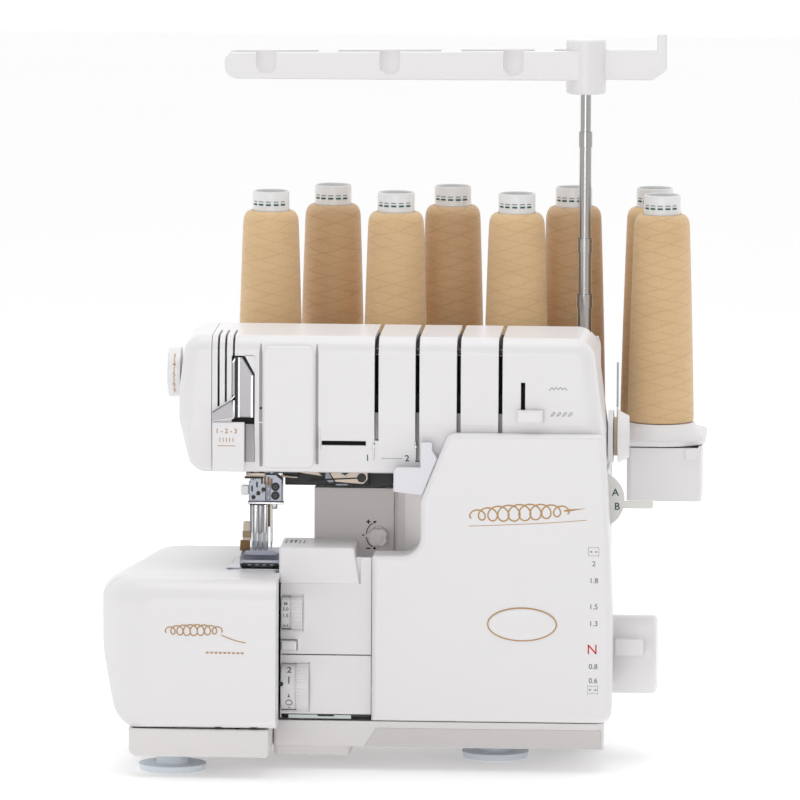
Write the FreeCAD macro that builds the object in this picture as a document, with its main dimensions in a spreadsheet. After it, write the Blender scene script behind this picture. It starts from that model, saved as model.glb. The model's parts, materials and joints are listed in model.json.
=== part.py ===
"""A serger (overlock sewing machine) with its thread stand, as separate pieces in one frame.

Millimetres. X runs along the machine to the handwheel side, Y from the front (negative) to the back,
Z up from the floor. The origin is under the middle of the machine's box, on the floor.
"""
import FreeCAD
import Part
import Sketcher
import math
import os
import re

os.makedirs("parts", exist_ok=True)
doc = FreeCAD.newDocument("serger")
V = FreeCAD.Vector

DIMENSIONS = {
    # whole machine
    "wall": 2.5, "gap": 0.5, "fit": 0.05, "left_end": -217.5, "right_end": 217.5, "back_end": 160.0,
    # base
    "base_left": -93.0, "base_right": 149.5, "base_front": -106.0, "base_back": 52.0, "base_low": 17.0,
    "base_top": 36.0, "tray_left": -195.5, "tray_front": -156.0, "tray_back": -40.0, "tray_low": 15.5,
    "tray_corner": 6.0, "foot_radius": 24.8, "foot_thick": 4.7, "stem_radius": 11.7,
    "foot_left": -166.5, "foot_right": 67.0, "foot_far_right": 120.0, "foot_front": -112.0,
    "foot_mid": -34.0, "foot_back": 26.0, "slide_right": -37.0, "slide_low": 10.0,
    # looper box and bed
    "bed_top": 145.0, "box_low": 36.8, "box_front": -160.0, "box_right": -88.0, "box_slant": 8.0,
    "bed_back": 51.0, "bed_back_left": -192.0, "box_corner": 42.0, "box_round": 17.0, "box_back_round": 12.0,
    "box_foot_in": 22.0, "box_foot_up": 58.0, "seam_front": -128.0, "seam_gap": 0.5,
    "cover_pin_y": -151.2, "cover_pin_z": 45.6, "cover_pin_radius": 1.5,
    "plate_left": -126.5, "plate_right": -89.6, "plate_front": -90.0, "plate_back": -22.0, "plate_thick": 2.4,
    "plate_proud": 0.4,
    # middle panels, thumbwheels, guard block
    "panel_left": -87.3, "panel_right": -21.4, "panel_face": -106.0, "panel_thick": 3.0, "panel_top": 157.0,
    "panel_split": 84.8, "panel_low": 41.0, "guard_left": -89.0, "guard_right": -30.0, "guard_front": -110.0,
    "guard_back": -58.0, "guard_low": 138.0, "guard_top": 164.5, "guard_bevel": 4.0,
    "wheel_axis_y": -100.5, "width_z": 115.6, "width_radius": 13.1, "width_right": -71.8, "width_rim": -80.4,
    "selector_z": 60.8, "selector_radius": 17.9, "selector_right": -67.0, "selector_rim": -76.4,
    "wheel_left": -87.0, "wheel_pin": 1.5,
    "tab_right": -76.0, "tab_low": 88.6, "tab_top": 95.3, "tab_front": -112.0,
    # right front cover and column
    "cover_face": -114.0, "cover_back": -84.0, "cover_right_top": 149.0, "cover_right": 155.0, "cover_top": 249.8,
    "cover_low": 37.4, "cover_shelf": 159.3, "cover_shelf_left": -20.8, "cover_neck": 14.5, "cover_neck_top": 199.9,
    "cover_shoulder": 34.5, "cover_inner_round": 14.0, "cover_corner": 9.0, 
    "casing_left": -8.0, "casing_right": 149.5, "casing_back": 52.0, "casing_top": 216.8,
    "deck_front": -57.0, "deck_right": -9.5, "inner_left": -68.5, "inner_face": -20.0, 
    "inner_top": 197.0, "trim_front": -83.5, "trim_right": 13.9,
    "star_x": -20.6, "star_z": 162.0, "star_radius": 7.0, "star_front": -34.0,
    # head
    "head_low": 217.8, "head_top": 318.7, "head_face": -105.0, "head_chin": -98.0, "head_crease": 255.8,
    "head_back": -18.0, "head_left": -139.0, "head_right": 148.0, "head_wall": 3.0, "head_round": 12.0,
    "head_mid_z": 271.0,
    "slot_wide": 3.0, "slot_one": -18.4, "slot_two": 11.5, "slot_three": 41.7, "slot_four": 72.2,
    "slot_one_low": 242.8, "slot_two_low": 227.0, "slot_far_low": 243.0,
    "groove_wide": 1.5, "groove_one": -134.0, "groove_two": -128.7, "groove_three": -122.9,
    "groove_one_low": 267.0, "groove_two_low": 270.2, "groove_three_low": 273.6,
    "window_left": -124.4, "window_right": -107.6, "window_low": 226.0, "window_top": 304.5,
    "lamp_slot_left": -58.6, "lamp_slot_right": -26.1, "lamp_slot_low": 239.0, "lamp_slot_top": 242.4,
    "lever_slot_left": 87.1, "lever_slot_right": 90.3, "lever_slot_low": 259.5, "lever_slot_top": 287.0,
    "knob_left": 84.6, "knob_right": 103.6, "knob_low": 258.2, "knob_top": 267.2,
    "knob_front": -112.0, "cap_left": -163.5, "cap_end_round": 10.0, "cap_low_round": 14.0, "raised_left": -101.5, "raised_right": -63.8,
    "raised_low": 222.4, "raised_top": 312.0, "raised_face": -108.0, "flap_right": -114.8, "flap_top": 255.8,
    "flap_low": 219.4, "flap_face": -107.5, "dial_left": -173.7, "dial_right": -164.2, "dial_y": -60.0,
    "dial_z": 287.0, "dial_radius": 18.2, "arm_top": 312.0, "arm_back_top": 298.0, "arm_back": 44.0,
    "arm_low": 219.0, "arm_left": -157.0,
    # needles and presser
    "needle_y": -60.0, "clamp_left": -114.2, "clamp_right": -89.6, "clamp_low": 190.2, "clamp_top": 212.4,
    "clamp_front": -66.0, "clamp_back": -53.5, "bar_x": -98.0, "bar_radius": 3.2, "bar_top": 306.0,
    "needle_first": -111.5, "needle_pitch": 3.5, "needle_radius": 0.6, "needle_tip": 158.0,
    "presser_x": -107.0, "presser_y": -44.0, "presser_radius": 3.5, "shank_half": 6.0,
    "foot_left_edge": -119.5, "foot_right_edge": -90.6, "foot_low": 146.2, "foot_rise": 8.2, "foot_toe": -84.0,
    "foot_heel": -40.0,
    # right side controls
    "hand_y": -30.0, "hand_z": 77.2, "hand_radius": 29.0, "hand_left": 152.8, "hand_right": 186.0,
    "hand_round": 3.5, "shaft_radius": 6.0, "shaft_left": -59.0, "pulley_left": 127.0, "pulley_right": 137.0,
    "pulley_radius": 26.0, "motor_y": 20.0, "motor_z": 135.0, "motor_radius": 27.0, "motor_left": 35.0,
    "motor_right": 112.0, "motor_pulley_radius": 8.5, "belt_thick": 1.8, "belt_air": 0.35,
    "feed_pivot_y": 30.0, "feed_pivot_z": 80.0, "feed_reach": 95.0, "feed_plate_left": 141.0,
    "feed_plate_right": 144.0, "feed_tab_left": 156.0, "feed_tab_right": 176.5,
    "thread_disc_x": 140.8, "thread_disc_z": 195.6, "thread_disc_y": -60.0, "thread_disc_radius": 21.0,
    "thread_disc_half": 2.5, "thread_lever_right": 183.0,
    "tension_y": -30.0, "tension_z": 239.0, "tension_radius": 19.5, "tension_left": 149.0,
    "tension_mid_left": 152.6, "tension_mid_right": 156.0, "tension_right": 164.0, "wire_top": 292.0,
        "inlet_left": 96.0, "inlet_low": 48.0, "lift_left": -100.0, "lift_right": -94.0, "lift_y": 20.0, "lift_z": 208.0,
    # thread stand
    "stand_left": -150.0, "stand_front": 45.0, "stand_low": 222.0, "stand_top": 226.0, "seat_top": 237.0,
    "seat_radius": 25.2, "seat_base_radius": 32.3, "front_row": 80.0, "rear_row": 130.5,
    "front_one": -108.0, "front_two": -14.5, "front_three": 75.7, "front_four": 184.0,
    "rear_one": -64.5, "rear_two": 25.5, "rear_three": 116.3, "rear_four": 177.0,
    "cone_top": 407.0, "collar_low": 393.0, "shoulder": 386.5, "cone_base_radius": 24.8,
    "cone_top_radius": 20.8, "collar_radius": 13.7, "tube_thick": 1.4, "pin_radius": 5.0, "pin_top": 300.0,
    "bin_left": 160.0, "bin_low": 181.3, "bin_back": 110.0, "bin_post": 12.0,
    # antenna
    "pole_x": 126.5, "pole_y": 80.0, "tube_one": 3.9, "tube_two": 4.45, "tube_three": 5.0, "tube_four": 5.5,
    "tube_bore": 3.2, "collar_step": 0.55,
    "hub_low": 482.0, "hub_top": 523.0, "hub_radius": 14.8, "beam_low": 491.5, "beam_top": 511.0,
    "beam_thick": 6.0, "beam_left": -142.0, "front_beam_y": 66.0, "rear_beam_y": 90.0,
    "beam_rise": 3.5, "notch_wide": 15.0, "notch_deep": 15.5, "beam_right": 179.4, "hook_right": 186.6,
    "hook_top": 527.0, "hook_low": 500.0,
}
sheet = doc.addObject("Spreadsheet::Sheet", "Dims")
for row, (alias, value) in enumerate(DIMENSIONS.items(), start=1):
    sheet.set(f"A{row}", alias)
    sheet.set(f"B{row}", str(value))
    sheet.setAlias(f"B{row}", alias)
doc.recompute()

SIDES = "xyz"
SIZES = ("Length", "Width", "Height")
TURNS = {
    "x": FreeCAD.Rotation(V(0, 1, 0), 90),
    "y": FreeCAD.Rotation(V(1, 0, 0), -90),
    "z": FreeCAD.Rotation(),
}
PLANES = {"XY": ("XY_Plane", "z", (0, 1)), "XZ": ("XZ_Plane", "y", (0, 2)), "YZ": ("YZ_Plane", "x", (1, 2))}
nodes = {}
brackets = []
pivots = []


# ---------------------------------------------------------------- building blocks
def linked(text):
    """An expression in which each word is a cell of the sheet."""
    return re.sub(r"[a-z][a-z_]*", lambda word: "Dims." + word.group(0), str(text))


def number(text):
    """What an expression of cells comes to."""
    return float(sheet.evalExpression(linked(text)))


def box(name, x, y, z):
    """A block between three pairs of expressions."""
    piece = doc.addObject("Part::Box", name)
    for side, size, (low, high) in zip(SIDES, SIZES, (x, y, z)):
        piece.setExpression("Placement.Base." + side, linked(low))
        piece.setExpression(size, linked(f"({high}) - ({low})"))
    return piece


def place_round(piece, axis, centre, span):
    """Stands a round primitive along an axis, from the low end of span."""
    piece.Placement = FreeCAD.Placement(V(), TURNS[axis])
    others = [side for side in SIDES if side != axis]
    for side, middle in zip(others, centre):
        piece.setExpression("Placement.Base." + side, linked(middle))
    piece.setExpression("Placement.Base." + axis, linked(span[0]))
    piece.setExpression("Height", linked(f"({span[1]}) - ({span[0]})"))
    return piece


def rod(name, axis, centre, span, radius):
    """A cylinder along an axis; centre is in the other two directions."""
    piece = doc.addObject("Part::Cylinder", name)
    piece.setExpression("Radius", linked(radius))
    return place_round(piece, axis, centre, span)


def taper(name, axis, centre, span, first, last):
    """A cone along an axis, of radius first at the low end and last at the high end."""
    piece = doc.addObject("Part::Cone", name)
    piece.setExpression("Radius1", linked(first))
    piece.setExpression("Radius2", linked(last))
    return place_round(piece, axis, centre, span)


def prism(name, plane, points, span, rounds=None, rim=None):
    """A body whose outline runs through points in a plane and is padded over span.

    rounds gives the radius of a corner by its number. rim is (radius, test): the edges of the
    front face, the one at the pad's far end, that pass the test are rounded."""
    role, side, picks = PLANES[plane]
    body = doc.addObject("PartDesign::Body", name)
    sketch = body.newObject("Sketcher::SketchObject", name + "_outline")
    support = next(one for one in body.Origin.OriginFeatures if one.Role == role)
    sketch.AttachmentSupport = [(support, "")]
    sketch.MapMode = "FlatFace"
    corners = [V(number(a), number(b), 0) for a, b in points]
    following = corners[1:] + corners[:1]
    for start, end in zip(corners, following):
        sketch.addGeometry(Part.LineSegment(start, end), False)
    for index, (a, b) in enumerate(points):
        sketch.addConstraint(Sketcher.Constraint("Coincident", index, 2, (index + 1) % len(points), 1))
        for kind, text, value in (("DistanceX", a, corners[index].x), ("DistanceY", b, corners[index].y)):
            which = sketch.addConstraint(Sketcher.Constraint(kind, index, 1, value))
            sketch.setExpression(f"Constraints[{which}]", linked(text))
    pad = body.newObject("PartDesign::Pad", name + "_pad")
    pad.Profile = sketch
    pad.setExpression("Length", linked(f"({span[1]}) - ({span[0]})"))
    start = span[1] if plane == "XZ" else span[0]
    body.setExpression("Placement.Base." + side, linked(start))
    doc.recompute()
    last = pad
    for radius in sorted(set((rounds or {}).values()), key=str):
        wanted = [corners[i] for i, one in rounds.items() if one == radius]
        last = add_fillet(body, last, radius, lambda edge: upright(edge, picks, wanted))
    if rim:
        far = (-1 if plane == "XZ" else 1) * (number(span[1]) - number(span[0]))
        axis = SIDES.index(side)
        last = add_fillet(body, last, rim[0], lambda edge: flat_at(edge, axis, far) and rim[1](edge.CenterOfMass))
    return body


def upright(edge, picks, corners):
    """Whether an edge stands on one of the outline's corners."""
    ends = [vertex.Point for vertex in edge.Vertexes]
    if len(ends) != 2:
        return False
    flat = [(end[picks[0]], end[picks[1]]) for end in ends]
    if math.dist(*flat) > 1e-6:
        return False
    return any(math.dist(flat[0], (corner.x, corner.y)) < 1e-6 for corner in corners)


def flat_at(edge, axis, level):
    """Whether an edge lies in the plane at level across an axis."""
    limits = edge.BoundBox
    low, high = ((limits.XMin, limits.XMax), (limits.YMin, limits.YMax), (limits.ZMin, limits.ZMax))[axis]
    return abs(low - level) < 1e-3 and abs(high - level) < 1e-3


def add_fillet(body, last, radius, test):
    """Rounds the edges of a body's last feature that pass the test."""
    if last.Shape.isNull():
        raise SystemExit(last.Name + " has no shape to round")
    names = [f"Edge{i}" for i, edge in enumerate(last.Shape.Edges, start=1) if test(edge)]
    fillet = body.newObject("PartDesign::Fillet", body.Name + "_round")
    fillet.Base = (last, names)
    fillet.setExpression("Radius", linked(radius))
    doc.recompute()
    return fillet


def fuse(name, *pieces):
    piece = doc.addObject("Part::MultiFuse", name)
    piece.Shapes = list(pieces)
    return piece


def common(name, *pieces):
    piece = doc.addObject("Part::MultiCommon", name)
    piece.Shapes = list(pieces)
    return piece


def cut(name, base, *tools):
    """The base with every tool taken out of it."""
    piece = doc.addObject("Part::Cut", name)
    piece.Base = base
    piece.Tool = tools[0] if len(tools) == 1 else fuse(name + "_tools", *tools)
    return piece


def group(name, pieces):
    """Several separate solids in one node."""
    piece = doc.addObject("Part::Compound", name)
    piece.Links = list(pieces)
    return piece


def soften(name, base, radius, test):
    """Rounds the edges of any solid that pass the test."""
    doc.recompute()
    piece = doc.addObject("Part::Fillet", name)
    piece.Base = base
    size = number(radius)
    piece.Edges = [(i, size, size) for i, edge in enumerate(base.Shape.Edges, start=1) if test(edge)]
    return piece


def node(label, piece):
    """Names the piece that is written to a file of its own."""
    piece.Label = label
    nodes[label] = piece
    return piece


def tube(name, axis, centre, span, outer, inner):
    """A ring or a pipe."""
    beyond = (f"{span[0]} - 1", f"{span[1]} + 1")
    return cut(name, rod(name + "_out", axis, centre, span, outer), rod(name + "_in", axis, centre, beyond, inner))


# ---------------------------------------------------------------- base
def make_base():
    frame = prism("base_body", "XY", [
        ("base_left", "base_front"), ("base_right", "base_front"), ("base_right - 5", "base_back"),
        ("base_left", "base_back")], ("base_low", "base_top"), {0: "3", 1: "tray_corner", 2: "tray_corner"})
    wing = box("base_wing", ("tray_left + 4", "base_left + 2"), ("tray_back + gap", "base_back - 3"),
               ("base_low + 2", "base_top - 2"))
    tray = prism("tray_body", "XZ", [
        ("tray_left", "tray_low"), ("base_left - gap", "tray_low"), ("base_left - gap", "base_top"),
        ("tray_left", "base_top")], ("tray_front", "tray_back"), {0: "tray_corner", 1: "2.5"},
        ("1.5", lambda middle: True))
    pocket = box("tray_pocket", ("tray_left + wall", "base_left - gap - wall"),
                 ("tray_front + wall", "tray_back - wall"), ("tray_low + wall", "base_top + 1"))
    node("base_tray_left", cut("base_tray_left", tray, pocket))
    feet = []
    for x, y, top in (("foot_left", "foot_front", "tray_low"), ("foot_right", "foot_mid", "base_low"),
                      ("foot_left", "foot_back", "base_low + 2"), ("foot_far_right", "foot_back", "base_low")):
        disc = taper("foot_disc", "z", (x, y), ("0", "foot_thick"), "foot_radius - 1", "foot_radius")
        stem = rod("foot_stem", "z", (x, y), ("foot_thick - 1", top), "stem_radius")
        feet.append(fuse("foot", disc, stem))
    node("leveling_feet", group("leveling_feet", feet))
    plate = prism("slide_body", "XY", [
        ("base_left", "base_front + 4"), ("slide_right", "base_front + 4"), ("slide_right", "foot_mid - 26"),
        ("base_left", "foot_mid - 26")], ("slide_low", "base_low"), {0: "4", 1: "4"})
    node("base_frame", fuse("base_frame", frame, wing, plate))


# ---------------------------------------------------------------- looper box: front cover and bed
def box_block(name, inset):
    """The left box as one solid, made smaller all round by inset."""
    left, front = f"left_end - 7 + {inset}", f"box_front + box_slant + {inset}"
    plan = prism(name + "_plan", "XY", [
        (f"box_right - {inset}", f"box_front + {inset}"), (left, front),
        (f"bed_back_left + {inset}", f"bed_back - {inset}"), (f"box_right - {inset}", f"bed_back - {inset}")],
        (f"box_low + {inset}", f"bed_top - {inset}"),
        {1: f"box_corner - {inset}", 2: f"box_back_round + box_round - {inset}"},
        (f"box_round - {inset}", lambda middle: middle.x < number("box_right") - 4))
    side = prism(name + "_side", "XZ", [
        ("box_right + 2", f"box_low + {inset} - 1"), (f"left_end + box_foot_in - 9 + {inset}", f"box_low + {inset} - 1"),
        (f"left_end + {inset}", "box_low + box_foot_up"), (f"left_end + {inset}", "bed_top + 1"),
        ("box_right + 2", "bed_top + 1")], ("box_front - 2", "bed_back + 2"), {1: "box_foot_in", 2: "80"})
    return common(name, plan, side)


def make_looper_box():
    outer = box_block("box_outer", "0")
    inner = box_block("box_inner", "wall")
    hinge_y, hinge_z = "cover_pin_y", "cover_pin_z"
    ahead = box("cover_half", ("left_end - 9", "box_right + 1"), ("box_front - 1", "seam_front"),
                ("box_low - 1", "bed_top + 1"))
    roll = prism("cover_roll", "YZ", [
        ("box_front", "box_low"), ("seam_front", "box_low"), ("seam_front", "bed_top + 1"),
        ("box_front", "bed_top + 1")], ("left_end - 9", "box_right + 1"), {0: "cover_pin_z - box_low"})
    shell = cut("cover_shell", common("cover_outer", outer, ahead, roll), inner,
                box("cover_underside", ("left_end + 25", "box_right - wall"), ("cover_pin_y + 4", "seam_front + 1"),
                    ("box_low - 1", "box_low + wall + 1")))
    knuckles, bores, notches, arms = [], [], [], []
    for x in ("box_right - 14", "box_right - 40"):
        knuckles.append(box("knuckle", (f"{x} - 12", f"{x} - 5"), ("box_front + 3.5", "cover_pin_y + 3.4"),
                            ("cover_pin_z - 4.6", "cover_pin_z + 3.4")))
        bores.append(rod("knuckle_bore", "x", (hinge_y, hinge_z), (f"{x} - 13", f"{x} - 4"),
                         "cover_pin_radius + fit"))
        notches.append(box("arm_notch", (f"{x} - 4.6", f"{x} + 0.6"), ("cover_pin_y - 4.4", "seam_front + 1"),
                           ("box_low - 1", "cover_pin_z + 4.8")))
        finger = box("hinge_finger", (f"{x} - 4", x), ("cover_pin_y - 2.8", "seam_front + 14"),
                     ("cover_pin_z - 2.8", "cover_pin_z + 2.8"))
        post = box("hinge_post", (f"{x} - 4", x), ("seam_front + 6", "seam_front + 14"),
                   ("tray_low + wall", "cover_pin_z"))
        arms.append(cut("hinge_arm", fuse("hinge_arm_solid", finger, post),
                        rod("arm_bore", "x", (hinge_y, hinge_z), (f"{x} - 5", f"{x} + 1"), "cover_pin_radius")))
    node("looper_cover", cut("looper_cover", fuse("cover_with_knuckles", shell, *knuckles), *bores, *notches))
    pin = rod("cover_pin", "x", (hinge_y, hinge_z), ("box_right - 53", "box_right - 13"), "cover_pin_radius")
    node("cover_hinge", fuse("cover_hinge", pin, *arms))
    behind = box("bed_half", ("left_end - 9", "box_right + 1"), ("seam_front + seam_gap", "bed_back + 1"),
                 ("box_low - 1", "bed_top + 1"))
    open_right = box("bed_open_right", ("plate_left - 4", "box_right + 2"), ("seam_front", "bed_back - wall"),
                     ("box_low - 2", "bed_top - wall"))
    open_low = box("bed_open_low", ("left_end + 14", "box_right + 2"), ("seam_front", "bed_back - wall"),
                   ("box_low - 2", "box_low + wall + 1"))
    relief = box("bed_relief", ("left_end - 9", "box_right + 2"), ("seam_front", "seam_front + 1.6"),
                 ("box_low - 2", "box_low + 26"))
    seat = box("plate_seat", ("plate_left - 0.3", "box_right + 2"), ("plate_front - 0.3", "plate_back + 0.3"),
               ("bed_top - wall - 1", "bed_top + 1"))
    blade = box("blade_slot", ("box_right - 4.4", "box_right + 2"), ("plate_front - 16", "plate_front"),
                ("bed_top - wall - 1", "bed_top + 1"))
    node("cloth_plate", cut("cloth_plate", common("bed_outer", outer, behind), inner, open_right, open_low, relief,
                            seat, blade))


def make_stitch_plate():
    top, low = "bed_top + plate_proud", "bed_top - plate_thick"
    body = prism("plate_body", "XY", [
        ("plate_left", "plate_front"), ("plate_right", "plate_front"), ("plate_right", "plate_back"),
        ("plate_left", "plate_back")], (low, top), {0: "3", 3: "3"})
    slots = [box("needle_slot", ("needle_first - 2", "needle_first + 4 * needle_pitch + 2"),
                 ("needle_y - 3", "needle_y + 3"), (f"{low} - 1", f"{top} + 1"))]
    for step in range(3):
        y = f"needle_y - 19 + {step} * 23"
        slots.append(box("dog_slot", ("needle_first - 3", "needle_first + 16"), (y, f"{y} + 4"),
                         (f"{low} - 1", f"{top} + 1")) if step != 1 else slots[0])
    screws, holes = [], []
    for y in ("plate_front + 5", "plate_back - 5"):
        screws.append(rod("plate_screw", "z", ("plate_left + 4.5", y), (f"{low} - 6", f"{top} - 0.2"), "1.8"))
        holes.append(rod("plate_screw_hole", "z", ("plate_left + 4.5", y), (f"{low} - 1", f"{top} + 1"), "1.8"))
    node("stitch_plate", cut("stitch_plate", body, slots[0], slots[1], slots[3], *holes))
    node("stitch_plate_screws", group("stitch_plate_screws", screws))
    ledge = box("plate_ledge", ("plate_left", "plate_right"), ("plate_back - 7", "plate_back"),
                ("base_top", f"{low}"))
    ledge_front = box("plate_ledge_front", ("plate_left", "plate_left + 7"), ("plate_front", "plate_front + 8"),
                      ("tray_low + wall", f"{low}"))
    ledge_holes = [rod("ledge_hole", "z", ("plate_left + 4.5", y), (f"{low} - 7", f"{low} + 1"), "1.8")
                   for y in ("plate_front + 5", "plate_back - 5")]
    passage = rod("ledge_passage", "y", ("-104", "84"), ("plate_back - 8", "plate_back + 1"), "2")
    brackets.extend([cut("support_back", ledge, ledge_holes[1], passage),
                     cut("support_front", ledge_front, ledge_holes[0])])


# ---------------------------------------------------------------- middle: panels, thumbwheels, guard
WHEELS = (("width_wheel", "width_z", "width_radius", "width_right", "width_rim"),
          ("selector_wheel", "selector_z", "selector_radius", "selector_right", "selector_rim"))


def make_middle():
    face = ("panel_face", "panel_face + panel_thick")
    upper = prism("upper_body", "XZ", [
        ("panel_left", "panel_split + 0.4"), ("panel_right", "panel_split + 0.4"), ("panel_right", "panel_top"),
        ("guard_right + 0.6", "panel_top"), ("guard_right + 0.6", "guard_low - 0.4"),
        ("panel_left", "guard_low - 0.4")], face)
    lower = box("lower_body", ("panel_left", "panel_right"), face, ("panel_low", "panel_split - 0.4"))
    cuts = [box("wheel_gap", ("panel_left - 1", f"{right} + 0.8"), ("panel_face - 1", "panel_face + 5"),
                (f"{z} - {radius} - 0.6", f"{z} + {radius} + 0.6")) for _, z, radius, right, _ in WHEELS]
    tab_gap = box("tab_gap", ("panel_left - 1", "tab_right + 0.6"), ("panel_face - 1", "panel_face + 5"),
                  ("tab_low - 0.6", "tab_top + 0.6"))
    node("upper_panel", cut("upper_panel", upper, cuts[0], tab_gap))
    node("lower_panel", cut("lower_panel", lower, cuts[1]))
    pins = []
    for name, z, radius, right, rim in WHEELS:
        knurl = rod(name + "_knurl", "x", ("wheel_axis_y", z), (rim, right), radius)
        ring = rod(name + "_ring", "x", ("wheel_axis_y", z), ("wheel_left", rim), f"{radius} - 0.5")
        bore = rod(name + "_bore", "x", ("wheel_axis_y", z), ("wheel_left - 1", f"{right} + 1"), "wheel_pin + fit")
        node(name, cut(name, fuse(name + "_solid", knurl, ring), bore))
        pins.append(rod("wheel_pin_rod", "x", ("wheel_axis_y", z), ("wheel_left", "panel_right - 36"), "wheel_pin"))
    pivots.extend(pins)
    bracket = box("bracket_body", ("panel_right - 40", "panel_right - 36"), ("panel_face + 3.2", "panel_face + 16"),
                  ("base_top", "width_z + 8"))
    brackets.append(cut("thumbwheel_bracket", bracket, *[
        rod("bracket_hole", "x", ("wheel_axis_y", z), ("panel_right - 41", "panel_right - 35"), "wheel_pin")
        for _, z, _, _, _ in WHEELS]))
    node("release_tab", soften("release_tab", box(
        "tab_body", ("panel_left", "tab_right"), ("tab_front", "panel_face + 8"), ("tab_low", "tab_top")), "1.2",
        lambda edge: flat_at(edge, 1, number("tab_front"))))
    guard = prism("guard_outer", "XZ", [
        ("guard_left", "guard_low"), ("guard_right", "guard_low"), ("guard_right - guard_bevel", "guard_top"),
        ("guard_left", "guard_top")], ("guard_front", "guard_back"), {2: "2.5", 3: "2"},
        ("2.2", lambda middle: middle.z > number("guard_low") + 1))
    hollow = box("guard_hollow", ("guard_left + wall", "guard_right - guard_bevel - wall"),
                 ("guard_front + wall + 1", "guard_back - wall"), ("guard_low - 1", "guard_top - wall"))
    node("fabric_guard", cut("fabric_guard", guard, hollow))


# ---------------------------------------------------------------- right column
def cover_outline(inset):
    """The corners of the right front cover, made smaller all round by inset."""
    return [
        (f"cover_shelf_left + {inset}", f"cover_low + {inset}"), (f"cover_right - {inset}", f"cover_low + {inset}"),
        (f"cover_right - {inset}", "hand_z + 44"), (f"cover_right_top - {inset}", f"cover_top - {inset}"),
        (f"cover_shoulder + {inset} * 0.7", f"cover_top - {inset}"), (f"cover_neck + {inset}", f"cover_neck_top"),
        (f"cover_neck + {inset}", f"cover_shelf - {inset}"), (f"cover_shelf_left + {inset}", f"cover_shelf - {inset}")]


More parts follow.
